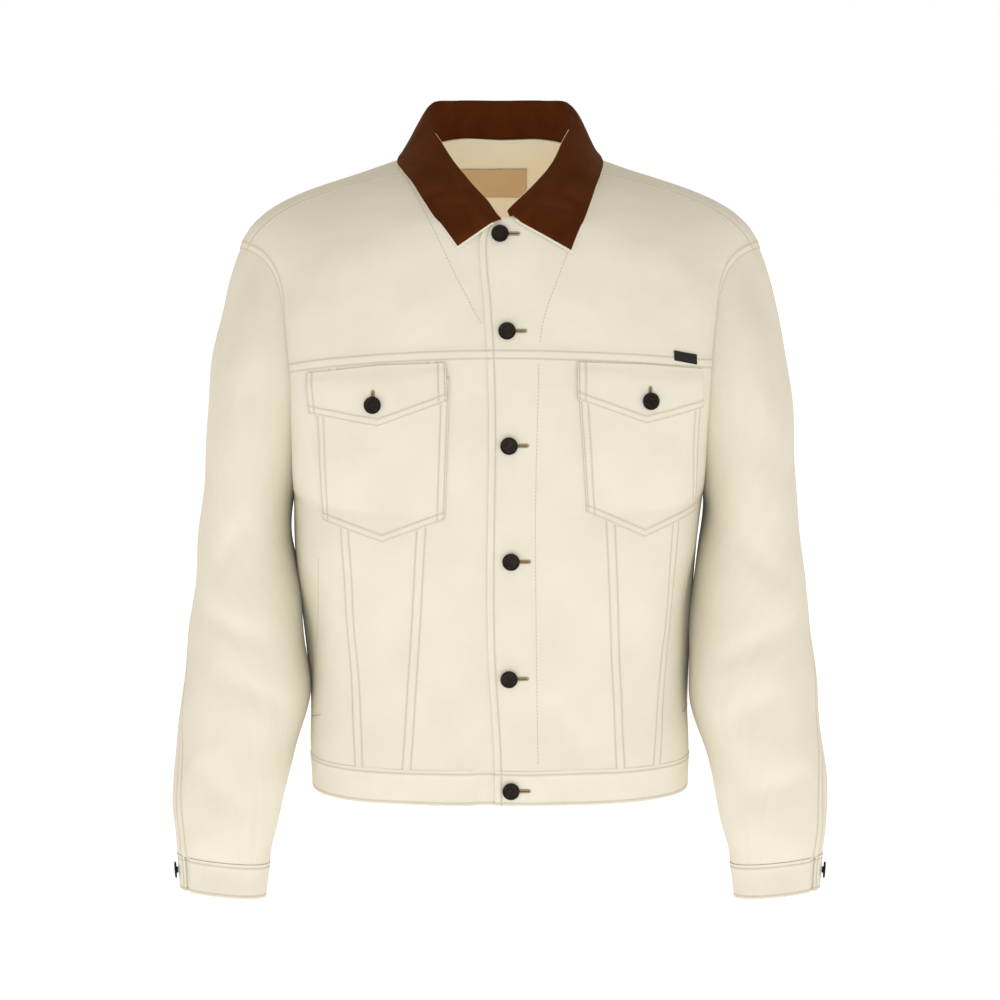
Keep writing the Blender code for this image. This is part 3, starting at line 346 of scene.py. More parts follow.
def rowStart(up):
    up = np.asarray(up, float)
    front = stack(0 * up, through(frontLine["up"], frontLine["y"], up),
                  through(frontLine["up"], frontLine["z"], up))
    back = stack(0 * up, through(backLine["up"], backLine["y"], up),
                 through(backLine["up"], backLine["z"], up))
    share = np.clip((neckBackUp - up) / (neckBackUp - neckFrontUp), 0, 1)
    return np.where((up < neckFrontUp)[..., None], front,
                    np.where((up > neckBackUp)[..., None], back, neckline(share)))


def rowEnd(side, up):
    up = np.asarray(up, float)
    fromHem = np.where(up > 1, 2 - up, up) * np.where(up > 1, underarmUp / (2 - backUnderarmUp), 1)
    seam = stack(through(sideSeam["up"], sideSeam[sideName(side)], fromHem), 0 * up,
                 through(sideSeam["up"], sideSeam["z"], fromHem))
    angle = through(armholeAngles["up"], armholeAngles["angle"], np.clip(up, underarmUp, backUnderarmUp))
    below = (up < underarmUp) | (up > backUnderarmUp)
    return np.where(below[..., None], seam, armhole(side, angle))


# A point of the body's surface before its folds, on the side x > 0 and mirrored for -1
def smoothBody(side, up, across):
    up, across = np.broadcast_arrays(np.asarray(up, float), np.asarray(across, float))
    start, end = rowStart(up), rowEnd(side, up)
    near = stack(*(through(rowHandles["up"], rowHandles["near" + c], up) for c in "XYZ"))
    far = end + stack(*(through(rowHandles["up"], rowHandles["far" + c], up) for c in "XYZ"))
    t = np.abs(across)[..., None]
    point = start * (1 - t) ** 3 + 3 * near * t * (1 - t) ** 2 + 3 * far * t**2 * (1 - t) + end * t**3
    point[..., 0] *= side * np.where(across < 0, -1, 1)
    return point


# A point of the sleeve at a height below the underarm, on the side x > 0
def armRing(side, angle, z):
    angle, z = np.broadcast_arrays(np.asarray(angle, float), np.asarray(z, float))
    heights = armShape["z"]
    outer = through(heights, armShape["outer"], z)
    inner = through(heights, armShape[f"inner{sideName(side).title()}"], z)
    half = (outer - inner) / 2
    turned = np.radians(angle)
    cosine = np.sign(np.cos(turned)) * np.abs(np.cos(turned)) ** armSquareness
    sine = np.sign(np.sin(turned)) * np.abs(np.sin(turned)) ** armSquareness
    x = (outer + inner) / 2 - half * cosine
    y = through(heights, armShape["middleY"], z) - through(heights, armShape["halfDepth"], z) * sine
    return stack(x, y, z - half * cosine * through(heights, armShape["tilt"], z))


# A point of the sleeve's surface before its folds, mirrored for a side of -1
def smoothSleeve(side, angle, down):
    angle, down = np.broadcast_arrays(np.asarray(angle, float), np.asarray(down, float))
    above = armTop + (cuffSeam - armTop) * (np.maximum(down, 1) - 1)
    z = np.where(down < 2, above, cuffSeam + (cuffEdge - cuffSeam) * (down - 2))
    arm = armRing(side, angle, z)
    top, start = armRing(side, angle, np.full_like(z, armTop)), armhole(side, angle)
    length = np.linalg.norm(top - start, axis=-1, keepdims=True)
    folded = np.where(angle > 180, 360 - angle, angle)
    leaving = stack(*(through(sleeveLeaves["angle"], sleeveLeaves[c], folded) for c in "xyz"))
    leaving[..., 1] *= np.where(angle > 180, -1, 1)
    arriving = unit(armRing(side, angle, np.full_like(z, armTop - 0.01)) - top)
    t = np.clip(down, 0, 1)[..., None]
    cap = (start * (2 * t**3 - 3 * t**2 + 1) + top * (3 * t**2 - 2 * t**3)
           + leaving * length * (t**3 - 2 * t**2 + t) + arriving * length * (t**3 - t**2))
    point = np.where((down < 1)[..., None], cap, arm)
    point[..., 0] *= side
    return point


# How deep the soft troughs and ridges of a table are at each place, in metres
def troughs(along, upward, folds):
    depth = np.zeros(np.broadcast(along, upward).shape)
    for along1, up1, along2, up2, width, deep in folds:
        run = np.array([along2 - along1, up2 - up1])
        share = ((along - along1) * run[0] + (upward - up1) * run[1]) / (run @ run)
        nearest = np.clip(share, 0, 1)
        off = np.hypot(along - along1 - nearest * run[0], upward - up1 - nearest * run[1])
        fade = np.clip(1 - (2 * share - 1) ** 2 / foldTaper, 0, 1)
        depth += deep * fade * np.exp(-((off / width) ** 2))
    return depth


# Low waves all over the body, which run on from front to back
def bodyRipple(point):
    x, y, z = point[..., 0], point[..., 1], point[..., 2]
    return sum(deep * np.sin(math.tau * (x / wide + z / tall) + waveTurn * y + start)
               for wide, tall, deep, start in bodyWaves)


def sleeveRipple(side, angle, z):
    return sum(deep * np.sin(np.radians(angle) * turns + math.tau * z / tall + start * side)
               for turns, tall, deep, start in sleeveWaves)


# The outward normal of a surface whose first number runs up or down and second one across
def surfaceNormal(surface, side, first, second, step=1e-3):
    along = surface(side, first, second + step) - surface(side, first, second - step)
    upward = surface(side, first + step, second) - surface(side, first - step, second)
    return unit(side * np.cross(along, upward))


# A point of the body with its folds, lifted off it along the normal, and that normal
def body(side, up, across, lift=0.0):
    up, across = np.broadcast_arrays(np.asarray(up, float), np.asarray(across, float))
    point = smoothBody(side, up, across)
    normal = surfaceNormal(smoothBody, side, up, across)
    depth = troughs(point[..., 0], point[..., 2], frontFolds) * (up <= 1)
    depth += troughs(point[..., 0], point[..., 2], backFolds) * (up > 1)
    depth += bodyRipple(point) * eased(0, shoulderCalm, np.abs(up - shoulderTopUp))
    depth *= 1 - eased(foldsFadeFrom, 1.0, np.abs(across))
    lift = np.broadcast_to(lift, up.shape)
    return point + normal * (lift - depth)[..., None], normal


def sleeve(side, angle, down, lift=0.0):
    angle, down = np.broadcast_arrays(np.asarray(angle, float), np.asarray(down, float))
    point = smoothSleeve(side, angle, down)
    normal = unit(-side * np.cross(
        smoothSleeve(side, angle + 0.2, down) - smoothSleeve(side, angle - 0.2, down),
        smoothSleeve(side, angle, down + 1e-3) - smoothSleeve(side, angle, down - 1e-3)))
    depth = troughs(angle * metresPerDegree, point[..., 2], sleeveFolds[sideName(side)])
    depth = (depth + sleeveRipple(side, angle, point[..., 2])) * eased(*sleeveFoldsStart, down)
    lift = np.broadcast_to(lift, down.shape)
    return point + normal * (lift - depth * (1 - eased(*sleeveFoldsEnd, down)))[..., None], normal


def angleAt(up):
    return through(armholeAngles["up"], armholeAngles["angle"], up)


# How far up the chest seam is, which rises a little towards the armhole
def yokeSeam(side, across):
    return yokeUp + yokeRise[sideName(side)] * np.clip(across, 0, 1) ** 2


# How far across the row is at a distance x from the centre line
def acrossAt(side, up, x):
    up, x = np.broadcast_arrays(np.asarray(up, float), np.asarray(x, float))
    across = np.clip(x / halfBody, -1, 1)
    for _ in range(searchSteps):
        here = smoothBody(side, up, across)[..., 0] * side
        slope = (smoothBody(side, up, across + searchReach)[..., 0] * side - here) / searchReach
        across = np.clip(across + np.clip((x - here) / np.maximum(slope, 0.02), -0.2, 0.2), -1, 1)
    return across


# The up and across of a point of the body at a distance x out and a height z, near a first up
def placeAt(side, x, z, up):
    x, z = np.broadcast_arrays(np.asarray(x, float), np.asarray(z, float))
    up, across = np.full(x.shape, float(up)), x / halfBody
    for _ in range(searchSteps + 4):
        here = smoothBody(side, up, across)
        byUp = (smoothBody(side, up + searchReach, across) - here) / searchReach
        byAcross = (smoothBody(side, up, across + searchReach) - here) / searchReach
        gapX, gapZ = x - here[..., 0] * side, z - here[..., 2]
        a, b = byUp[..., 0] * side, byAcross[..., 0] * side
        c, d = byUp[..., 2], byAcross[..., 2]
        share = a * d - b * c
        up = up + np.clip((gapX * d - gapZ * b) / share, -0.05, 0.05)
        across = across + np.clip((gapZ * a - gapX * c) / share, -0.2, 0.2)
    return up, across


# How far past the centre the front that laps over reaches
def lapEdge(up):
    return through(lapEdgePlaces["up"], lapEdgePlaces["past"], up)


# The across of a front's own edge, which lies past the centre on both sides
def centreEdge(side, up):
    past = lapEdge(up) if side > 0 else np.full(np.shape(up), underLapTo)
    return acrossAt(side, up, -past)


# The across of one of the two slanting seams of the front
def panelSeam(side, seam, up):
    atHem, atYoke = panelSeams[sideName(side)][seam]
    share = (up - hemSeamUp) / (yokeUp - hemSeamUp)
    return acrossAt(side, up, atHem + (atYoke - atHem) * share)


# How far the front that is lapped over is pressed in where the other covers it
def frontDrop(side, up, across, full):
    fromCentre = smoothBody(side, up, across)[..., 0] * side
    return -full * (1 - eased(*lapFall, fromCentre)) * (side < 0)


# A point of the collar: round from centre back, 0, to the front, 1, and from seam to edge
def collarSheet(side, roundShare, profile):
    names = collarShape[sideName(side)]
    around, profile = np.broadcast_arrays(np.asarray(roundShare, float), np.asarray(profile, float))
    shifted = around * (1 - side * collarShift)
    seam = neckline(shifted)
    roll = rollCurve(collarShape, shifted)
    for point in (seam, roll):
        point[..., 0] = side * point[..., 0] + collarGap * side * eased(0.9, 1.0, around)
    aside = eased(rollAsideFrom, rollAsideTo, around) - eased(rollBackFrom, 1.0, around)
    roll[..., 0] += rollAside * aside
    seamX = seam[..., 0]
    up = through(collarShape["round"], names["edgeUp"], around)
    edgeX = through(collarShape["round"], names["edgeX"], around)
    across = acrossAt(side, up, edgeX)
    edge = smoothBody(side, up, across)
    out = surfaceNormal(smoothBody, side, up, across)
    edge = edge + out * collarStandsOff
    rising, falling = roll - seam, edge - roll
    rise = np.linalg.norm(rising, axis=-1, keepdims=True)
    fall = np.linalg.norm(falling, axis=-1, keepdims=True)
    over = unit(unit(rising) + unit(falling))
    lying = unit(falling - out * np.sum(falling * out, axis=-1, keepdims=True))
    lean = np.minimum(rollRadius, standLean * rise)
    seam = seam + unit(rising) * neckGap
    stand = bezier(seam, seam + rising * standReach, roll - over * lean, roll, profile / standShare)
    leaf = bezier(roll, roll + over * np.minimum(rollRadius * rollOver, leafLean * fall),
                  edge - lying * fall * leafReach, edge, (profile - standShare) / (1 - standShare))
    share = np.clip((profile - standShare) / (1 - standShare), 0, 1)
    seamUp = neckBackUp - np.minimum(shifted, 1) * (neckBackUp - neckFrontUp)
    past = np.where(shifted > 1, acrossAt(side, seamUp, side * seamX), 0)
    lyingUp, lyingAcross = seamUp + (up - seamUp) * share, past + (across - past) * share
    height = collarStandsOff + collarFold * (1 - share) ** 2
    flat = smoothBody(side, lyingUp, lyingAcross)
    flat = flat + surfaceNormal(smoothBody, side, lyingUp, lyingAcross) * height[..., None]
    lies = eased(collarLiesFrom, 1, around) * eased(0, collarLiesWithin, share)
    leaf += (flat - leaf) * lies[..., None]
    return np.where((profile < standShare)[..., None], stand, leaf)


# The collar's roll, which is level at centre back and runs straight on past centre front
def rollCurve(names, at):
    stations = names["round"]
    stretched = [-stations[1], *stations, 2 - stations[-2]]

    def column(name, sign):
        values = names[name]
        return through(stretched, [sign * values[1], *values, 2 * values[-1] - values[-2]], at)

    return stack(column("rollX", -1), column("rollY", 1), column("rollZ", 1))


def bezier(start, near, far, end, share):
    t = np.clip(share, 0, 1)[..., None]
    return start * (1 - t) ** 3 + 3 * near * t * (1 - t) ** 2 + 3 * far * t**2 * (1 - t) + end * t**3


# The normal of the side of the collar that shows
def collarNormal(side, roundShare, profile):
    low, high = np.maximum(profile - 0.01, 0), np.minimum(profile + 0.01, 1)
    around = collarSheet(side, roundShare + 0.004, profile) - collarSheet(side, roundShare - 0.004, profile)
    outward = collarSheet(side, roundShare, high) - collarSheet(side, roundShare, low)
    return unit(side * np.cross(around, outward))


# Where a panel's cells lie beside a seam, and how large they are elsewhere.
seamSteps = (0.0, 0.0012, 0.0023, 0.0032, 0.0041, 0.0051, 0.0062, 0.0076, 0.0091, 0.0108)
clothCell, fineCell = 0.004, 0.003

# How each kind of edge is sewn: how far the cloth stands up beside it, how wide that strip is,
# how far in the rows of stitches lie, and how far the very edge rolls under.
edgeKinds = {
    "plain": {"lift": 0.0, "width": 0.004, "stitches": (), "roll": 0.0},
    "felled": {"lift": 0.0005, "width": 0.0050, "stitches": (0.0040,), "roll": 0.0},
    "lapped": {"lift": 0.0007, "width": 0.0105, "stitches": (0.0015, 0.0090), "roll": 0.0002},
    "lappedOnce": {"lift": 0.0007, "width": 0.0105, "stitches": (0.0017,), "roll": 0.0002},
    "armhole": {"lift": 0.0006, "width": 0.0095, "stitches": (0.0015, 0.0080), "roll": 0.0002},
    "bandTop": {"lift": 0.0003, "width": 0.0060, "stitches": (0.0035,), "roll": 0.0003},
    "bandEdge": {"lift": 0.0, "width": 0.0040, "stitches": (0.0028,), "roll": 0.0007},
    "placket": {"lift": 0.0004, "width": 0.0070, "stitches": (0.0062,), "roll": 0.0007},
    "patch": {"lift": 0.0003, "width": 0.0085, "stitches": (0.0015, 0.0075), "roll": 0.0005},
    "tabEdge": {"lift": 0.0, "width": 0.002, "stitches": (), "roll": 0.0003},
}

# How a seam's strip steps down, how wide a rolled edge, a row of stitches and its puckers are, and
# how deep the stitches lie.
seamStep, rollWidth = (-0.0008, 0.0012), 0.0016
stitchWidth, puckerWidth, stitchDepth = 0.0010, 0.006, 0.00012

sewn = {}  # rows of stitches by the area that they belong to: points and normals
flatSizes = []  # what each sheet was cut to, for the printed list
smallestCut, smoothTo = 0.01, 50


def lengthsAlong(points, axis):
    step = np.linalg.norm(np.diff(points, axis=axis), axis=-1)
    start = np.zeros_like(np.take(step, [0], axis=axis))
    return np.concatenate([start, np.cumsum(step, axis=axis)], axis=axis)


# Shares of the way along each line, with cells of a fixed size beside its seams
def seamShares(lengths, startSeam=True, endSeam=True, cell=clothCell):
    lengths = np.atleast_1d(np.asarray(lengths, float))[:, None]
    start = np.array(seamSteps if startSeam else seamSteps[:1])
    end = np.array(seamSteps if endSeam else seamSteps[:1])
    count = max(int((lengths.max() - start[-1] - end[-1]) / cell), 2)
    middle = start[-1] + (lengths - start[-1] - end[-1]) * np.linspace(0, 1, count + 1)[1:-1]
    return np.concatenate([start + 0 * lengths, middle, lengths - end[::-1]], axis=1) / lengths


# Values of a curve's own number, from low to high, so spaced that the cells have their lengths
def stationsOf(curve, low, high, startSeam=True, endSeam=True, cell=clothCell):
    numbers = np.linspace(low, high, 300)
    run = lengthsAlong(curve(numbers), 0)
    return np.interp(seamShares(run[-1], startSeam, endSeam, cell)[0] * run[-1], run, numbers)


# The places of a panel's cells between two edges, each a function of the row's own number
def panelPlaces(surface, rows, left, right, startSeam=True, endSeam=True, cell=clothCell):
    near, far = left(rows), right(rows)
    share = np.linspace(0, 1, 61)
    across = near[:, None] + (far - near)[:, None] * share
    run = lengthsAlong(surface(np.broadcast_to(rows[:, None], across.shape), across), 1)
    wanted = seamShares(run[:, -1], startSeam, endSeam, cell) * run[:, -1:]
    fraction = np.array([np.interp(w, r, share) for w, r in zip(wanted, run)])
    across = near[:, None] + (far - near)[:, None] * fraction
    return np.broadcast_to(rows[:, None], across.shape).copy(), across


# The lift beside sewn edges, and two masks: 1 on a row of stitches, which also sets the painted shade in the
# stitches' groove, and 1 at a seam
def relief(points, edges):
    along, down = lengthsAlong(points, 1), lengthsAlong(points, 0)
    away = {"start": along, "end": along[:, -1:] - along, "low": down, "high": down[-1:] - down}
    lift, stitchGrooveAndShade, pucker = np.zeros(along.shape), np.zeros(along.shape), np.zeros(along.shape)
    for place, kind in edges.items():
        facts, distance = edgeKinds[kind], away[place]
        beside = 1 - eased(facts["width"] + seamStep[0], facts["width"] + seamStep[1], distance)
        lift = np.maximum(lift, facts["lift"] * beside)
        lift = lift - facts["roll"] * (1 - eased(0, rollWidth, distance))
        for at in facts["stitches"]:
            stitchGrooveAndShade = np.maximum(stitchGrooveAndShade, np.exp(-(((distance - at) / stitchWidth) ** 2)))
            pucker = np.maximum(pucker, np.exp(-(((distance - at) / puckerWidth) ** 2)))
        if facts["stitches"]:
            lift = lift - stitchDepth * stitchGrooveAndShade
    return lift, {"stitchGrooveAndShade": stitchGrooveAndShade, "pucker": pucker}, away


# Rows of stitches beside the sewn edges of a panel, kept for later under an area's name
def sewEdges(area, points, normals, away, edges):
    for place, kind in edges.items():
        for at in edgeKinds[kind]["stitches"]:
            distance, axis = away[place], 1 if place in ("start", "end") else 0
            if axis == 0:
                distance, places, ways = distance.T, np.swapaxes(points, 0, 1), np.swapaxes(normals, 0, 1)
            else:
                places, ways = points, normals
            if place in ("end", "high"):
                distance, places, ways = distance[:, ::-1], places[:, ::-1], ways[:, ::-1]
            line = np.array([[np.interp(at, d, p[:, k]) for k in range(3)] for d, p in zip(distance, places)])
            way = np.array([[np.interp(at, d, w[:, k]) for k in range(3)] for d, w in zip(distance, ways)])
            sewn.setdefault(area, []).append((line, way))


def selectOnly(*pieces):
    bpy.ops.object.select_all(action="DESELECT")
    for piece in pieces:
        piece.select_set(True)
    bpy.context.view_layer.objects.active = pieces[0]


# A flat grid whose cells are moved to their places on the cloth
def layGrid(name, points, normals, masks):
    rows, columns = points.shape[:2]
    bpy.ops.object.select_all(action="DESELECT")
    bpy.ops.mesh.primitive_grid_add(x_subdivisions=columns - 1, y_subdivisions=rows - 1, size=2)
    piece = bpy.context.object
    piece.name = piece.data.name = name
    mesh = piece.data
    flat = np.zeros(len(mesh.vertices) * 3)
    mesh.vertices.foreach_get("co", flat)
    flat = flat.reshape(-1, 3)
    column = np.rint((flat[:, 0] + 1) / 2 * (columns - 1)).astype(int)
    row = np.rint((flat[:, 1] + 1) / 2 * (rows - 1)).astype(int)
    mesh.vertices.foreach_set("co", points[row, column].ravel())
    for mask, values in masks.items():
        layer = mesh.attributes.new(mask, "FLOAT", "POINT")
        layer.data.foreach_set("value", values[row, column].astype(np.float32))
    along, down = lengthsAlong(points, 1), lengthsAlong(points, 0)
    corner = np.zeros(len(mesh.loops), int)
    mesh.loops.foreach_get("vertex_index", corner)
    mapped = np.stack([along[row, column][corner], down[row, column][corner]], axis=-1)
    mesh.uv_layers.active.name = "cloth"
    mesh.uv_layers.active.data.foreach_set("uv", mapped.ravel().astype(np.float32))
    mesh.update()
    facing = np.zeros(len(mesh.polygons) * 3)
    mesh.polygons.foreach_get("normal", facing)
    first = np.zeros(len(mesh.polygons), int)
    mesh.polygons.foreach_get("loop_start", first)
    wanted = normals[row, column][corner[first]]
    if (facing.reshape(-1, 3) * wanted).sum() < 0:
        selectOnly(piece)
        bpy.ops.object.mode_set(mode="EDIT")
        bpy.ops.mesh.select_all(action="SELECT")
        bpy.ops.mesh.flip_normals()
        bpy.ops.object.mode_set(mode="OBJECT")
    return piece


def finishSheet(parts, name, node, thickness, material):
    pieces, areas, widths, lengths = zip(*parts)
    area, width, length = sum(areas), sum(widths), max(lengths)
    selectOnly(*pieces)
    if len(pieces) > 1:
        bpy.ops.object.join()
    piece = pieces[0]
    piece.name = piece.data.name = name
    bpy.ops.object.mode_set(mode="EDIT")
    bpy.ops.mesh.select_all(action="SELECT")
    bpy.ops.mesh.remove_doubles(threshold=0.00002)
    bpy.ops.object.mode_set(mode="OBJECT")
    bpy.ops.object.modifier_add(type="SOLIDIFY")
    wall = piece.modifiers[-1]
    wall.thickness, wall.offset = thickness, -1
    bpy.ops.object.modifier_apply(modifier=wall.name)
    bpy.ops.object.shade_smooth_by_angle(angle=math.radians(smoothTo))
    piece.data.materials.clear()
    piece.data.materials.append(material)
    width, length = (max(round(size, 4), smallestCut) for size in (width, length))
    area = min(area, width * length)
    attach(piece, "root")
    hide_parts(node)
    flatSizes.append((name, width, length, area))
    return piece


# One grid of a piece with its sizes: the grid, its area, its longest row and its longest column
def clothPart(name, points, normals, masks):
    piece = layGrid(name, points, normals, masks)
    a, b = points[1:, 1:] - points[:-1, :-1], points[1:, :-1] - points[:-1, 1:]
    area = float(np.linalg.norm(np.cross(a, b), axis=-1).sum() / 2)
    along, down = lengthsAlong(points, 1)[:, -1], lengthsAlong(points, 0)[-1]
    return piece, area, float(along.max()), float(down.max())


# A part of a surface between its edges, lifted off it, with its sewn edges
def sewnPart(name, area, surface, first, second, edges, rise=0.0, plainRise=0.0):
    plain, _ = surface(first, second, plainRise)
    lift, masks, away = relief(plain, edges)
    points, normals = surface(first, second, lift + rise)
    sewEdges(area, points, normals, away, edges)
    return clothPart(name, points, normals, masks)


def bodyPart(name, area, side, up, across, edges, rise=0.0, plainRise=0.0):
    return sewnPart(name, area, partial(body, side), up, across, edges, rise, plainRise)


# What a user would change in the cloth's finishes. Colours are linear.
twillFinish = {
    "cloth": (0.800, 0.757, 0.640), "shadow": (0.730, 0.670, 0.530), "pitch": 0.0011, "roughness": 0.92,
    "mottle": 0.30, "bump": 0.16,
}
bandFinish = {**twillFinish, "cloth": (0.825, 0.785, 0.672)}
napFinish = {
    "cloth": (0.076, 0.0170, 0.0018), "light": (0.106, 0.027, 0.0034), "dark": (0.053, 0.0110, 0.0011),
}
labelFinish = {"cloth": (0.560, 0.415, 0.250), "thread": (0.470, 0.340, 0.195), "pitch": 0.0009}
tabFinish = {"cloth": (0.011, 0.011, 0.012), "thread": (0.030, 0.030, 0.032), "pitch": 0.0007}
bronzeFinish = {"metal": (0.013, 0.010, 0.008), "worn": (0.052, 0.036, 0.026), "roughness": 0.36}
threadFinish = {"thread": (0.620, 0.490, 0.320), "twist": (0.480, 0.360, 0.210)}
pipingFinish = {"thread": (0.800, 0.710, 0.540), "twist": (0.720, 0.620, 0.440)}
buttonholeFinish = {"thread": (0.430, 0.330, 0.170), "twist": (0.330, 0.245, 0.120)}


def addNode(tree, kind, place, **values):
    node = tree.nodes.new(kind)
    node.location = (place[0] * 190, -place[1] * 210)
    for key, value in values.items():
        if key in node.inputs:
            node.inputs[key].default_value = value
        else:
            setattr(node, key, value)
    return node


# A colour blend's sockets: its factor, its two colours and its result
def blendColors(tree, place):
    node = addNode(tree, "ShaderNodeMix", place, data_type="RGBA", clamp_factor=True)
    return node.inputs[0], node.inputs[6], node.inputs[7], node.outputs[2]


# A ramp between colours, each at its place
def colorRamp(tree, place, stops):
    ramp = addNode(tree, "ShaderNodeValToRGB", place)
    elements = ramp.color_ramp.elements
    for _ in stops[2:]:
        elements.new(1.0)
    for element, (position, color) in zip(elements, stops):
        element.position, element.color = position, (*color, 1)
    return ramp


# Bump from a height, at the end of a material
def emboss(tree, shader, height, strength, distance):
    bump = addNode(tree, "ShaderNodeBump", (-1, 2), Strength=strength, Distance=distance)
    tree.links.new(height, bump.inputs["Height"])
    tree.links.new(bump.outputs["Normal"], shader.inputs["Normal"])


# The woven look of all the cloth: slanting twill lines, cross threads, slubs, soft mottling and painted shade
# along the rows of stitches
def weaveGroup():
    group = bpy.data.node_groups.new("wovenCloth", "ShaderNodeTree")
    face = group.interface
    face.new_socket("Cloth", in_out="INPUT", socket_type="NodeSocketColor")
    face.new_socket("Shadow", in_out="INPUT", socket_type="NodeSocketColor")
    for name in ("Pitch", "Mottle", "StitchShade", "Pucker"):
        face.new_socket(name, in_out="INPUT", socket_type="NodeSocketFloat")
    face.new_socket("Place", in_out="INPUT", socket_type="NodeSocketVector")
    face.new_socket("Color", in_out="OUTPUT", socket_type="NodeSocketColor")
    face.new_socket("Height", in_out="OUTPUT", socket_type="NodeSocketFloat")
    start = addNode(group, "NodeGroupInput", (-6, 0))
    end = addNode(group, "NodeGroupOutput", (6, 0))
    link = group.links.new
    scaled = addNode(group, "ShaderNodeVectorMath", (-4, 1), operation="DIVIDE")
    pitches = addNode(group, "ShaderNodeCombineXYZ", (-5, 2))
    for k in range(3):
        link(start.outputs["Pitch"], pitches.inputs[k])
    link(start.outputs["Place"], scaled.inputs[0])
    link(pitches.outputs[0], scaled.inputs[1])
    slant = addNode(group, "ShaderNodeMapping", (-3, 1))
    slant.inputs["Rotation"].default_value = (0, 0, math.radians(63))
    link(scaled.outputs[0], slant.inputs["Vector"])
    lines = addNode(group, "ShaderNodeTexWave", (-2, 1), wave_type="BANDS", bands_direction="X",
                    Scale=0.314, Distortion=0.6, Detail=1.0)
    link(slant.outputs[0], lines.inputs["Vector"])
    threads = addNode(group, "ShaderNodeTexNoise", (-2, 2), Scale=1.4, Detail=3.0, Roughness=0.6)
    link(scaled.outputs[0], threads.inputs["Vector"])
    mottle = addNode(group, "ShaderNodeTexNoise", (-2, 3), Scale=26.0, Detail=4.0, Roughness=0.55)
    link(start.outputs["Place"], mottle.inputs["Vector"])
    crease = addNode(group, "ShaderNodeTexNoise", (-2, 4), Scale=170.0, Detail=2.0, Roughness=0.5)
    link(start.outputs["Place"], crease.inputs["Vector"])
    # colour: mottling first, then the lines of the weave, then painted shade: a greyer line along the groove
    # that stitches pull in
    centred = addNode(group, "ShaderNodeMapRange", (-1, 3))
    centred.inputs["From Min"].default_value, centred.inputs["From Max"].default_value = 0.42, 0.68
    link(mottle.outputs["Fac"], centred.inputs["Value"])
    amount = addNode(group, "ShaderNodeMath", (0, 3), operation="MULTIPLY")
    link(centred.outputs[0], amount.inputs[0])
    link(start.outputs["Mottle"], amount.inputs[1])
    factor, first, second, mottled = blendColors(group, (1, 2))
    link(amount.outputs[0], factor)
    link(start.outputs["Cloth"], first)
    link(start.outputs["Shadow"], second)
    woven = addNode(group, "ShaderNodeMath", (0, 1), operation="MULTIPLY")
    woven.inputs[1].default_value = 0.16
    link(lines.outputs["Fac"], woven.inputs[0])
    factor, first, second, lined = blendColors(group, (2, 1))
    link(woven.outputs[0], factor)
    link(mottled, first)
    link(start.outputs["Shadow"], second)
    # painted shade: along each row of stitches the cloth is blended towards a grey-brown
    grooveShade = addNode(group, "ShaderNodeMath", (2, 3), operation="MULTIPLY")
    grooveShade.inputs[1].default_value = 0.55
    link(start.outputs["StitchShade"], grooveShade.inputs[0])
    factor, first, second, grooveShaded = blendColors(group, (4, 1))
    second.default_value = (0.50, 0.44, 0.33, 1)
    link(grooveShade.outputs[0], factor)
    link(lined, first)
    link(grooveShaded, end.inputs["Color"])
    # height: weave, slubs and the puckers that stitches leave
    puckered = addNode(group, "ShaderNodeMath", (0, 5), operation="MULTIPLY")
    link(crease.outputs["Fac"], puckered.inputs[0])
    link(start.outputs["Pucker"], puckered.inputs[1])
    strong = addNode(group, "ShaderNodeMath", (1, 5), operation="MULTIPLY")
    strong.inputs[1].default_value = 3.2
    link(puckered.outputs[0], strong.inputs[0])
    slubbed = addNode(group, "ShaderNodeMath", (1, 4), operation="MULTIPLY_ADD")
    slubbed.inputs[1].default_value = 0.5
    link(threads.outputs["Fac"], slubbed.inputs[0])
    link(lines.outputs["Fac"], slubbed.inputs[2])
    total = addNode(group, "ShaderNodeMath", (3, 4), operation="ADD")
    link(slubbed.outputs[0], total.inputs[0])
    link(strong.outputs[0], total.inputs[1])
    link(total.outputs[0], end.inputs["Height"])
    return group


weave = weaveGroup()


def startMaterial(name, roughness, **sockets):
    material = bpy.data.materials.new(name)
    material.use_nodes = True
    tree = material.node_tree
    shader = tree.nodes["Principled BSDF"]
    shader.inputs["Roughness"].default_value = roughness
    for socket, value in sockets.items():
        shader.inputs[socket.replace("_", " ")].default_value = value
    return material, tree, shader


# Cloth whose weave follows its own map, with the puckers that its seams leave and painted shade along its
# stitches
def clothMaterial(name, cloth, shadow, pitch, roughness=0.92, mottle=0.3, bump=0.16, sheen=0.12):
    material, tree, shader = startMaterial(name, roughness, Sheen_Weight=sheen, Sheen_Roughness=0.6)
    shader.inputs["Specular IOR Level"].default_value = 0.18
    mapped = addNode(tree, "ShaderNodeUVMap", (-5, 0), uv_map="cloth")
    masks = {}
    # the stitch mask also carries the painted shade of the stitches' groove into the colour
    for row, mask in enumerate(("stitchGrooveAndShade", "pucker")):
        masks[mask] = addNode(tree, "ShaderNodeAttribute", (-5, row + 1), attribute_name=mask)
    woven = addNode(tree, "ShaderNodeGroup", (-3, 0))
    woven.node_tree = weave
    woven.inputs["Cloth"].default_value = (*cloth, 1)
    woven.inputs["Shadow"].default_value = (*shadow, 1)
    woven.inputs["Pitch"].default_value = pitch
    woven.inputs["Mottle"].default_value = mottle
    link = tree.links.new
    link(mapped.outputs[0], woven.inputs["Place"])
    link(masks["stitchGrooveAndShade"].outputs["Fac"], woven.inputs["StitchShade"])
    link(masks["pucker"].outputs["Fac"], woven.inputs["Pucker"])
    link(woven.outputs["Color"], shader.inputs["Base Color"])
    emboss(tree, shader, woven.outputs["Height"], bump, 0.0006)
    return material


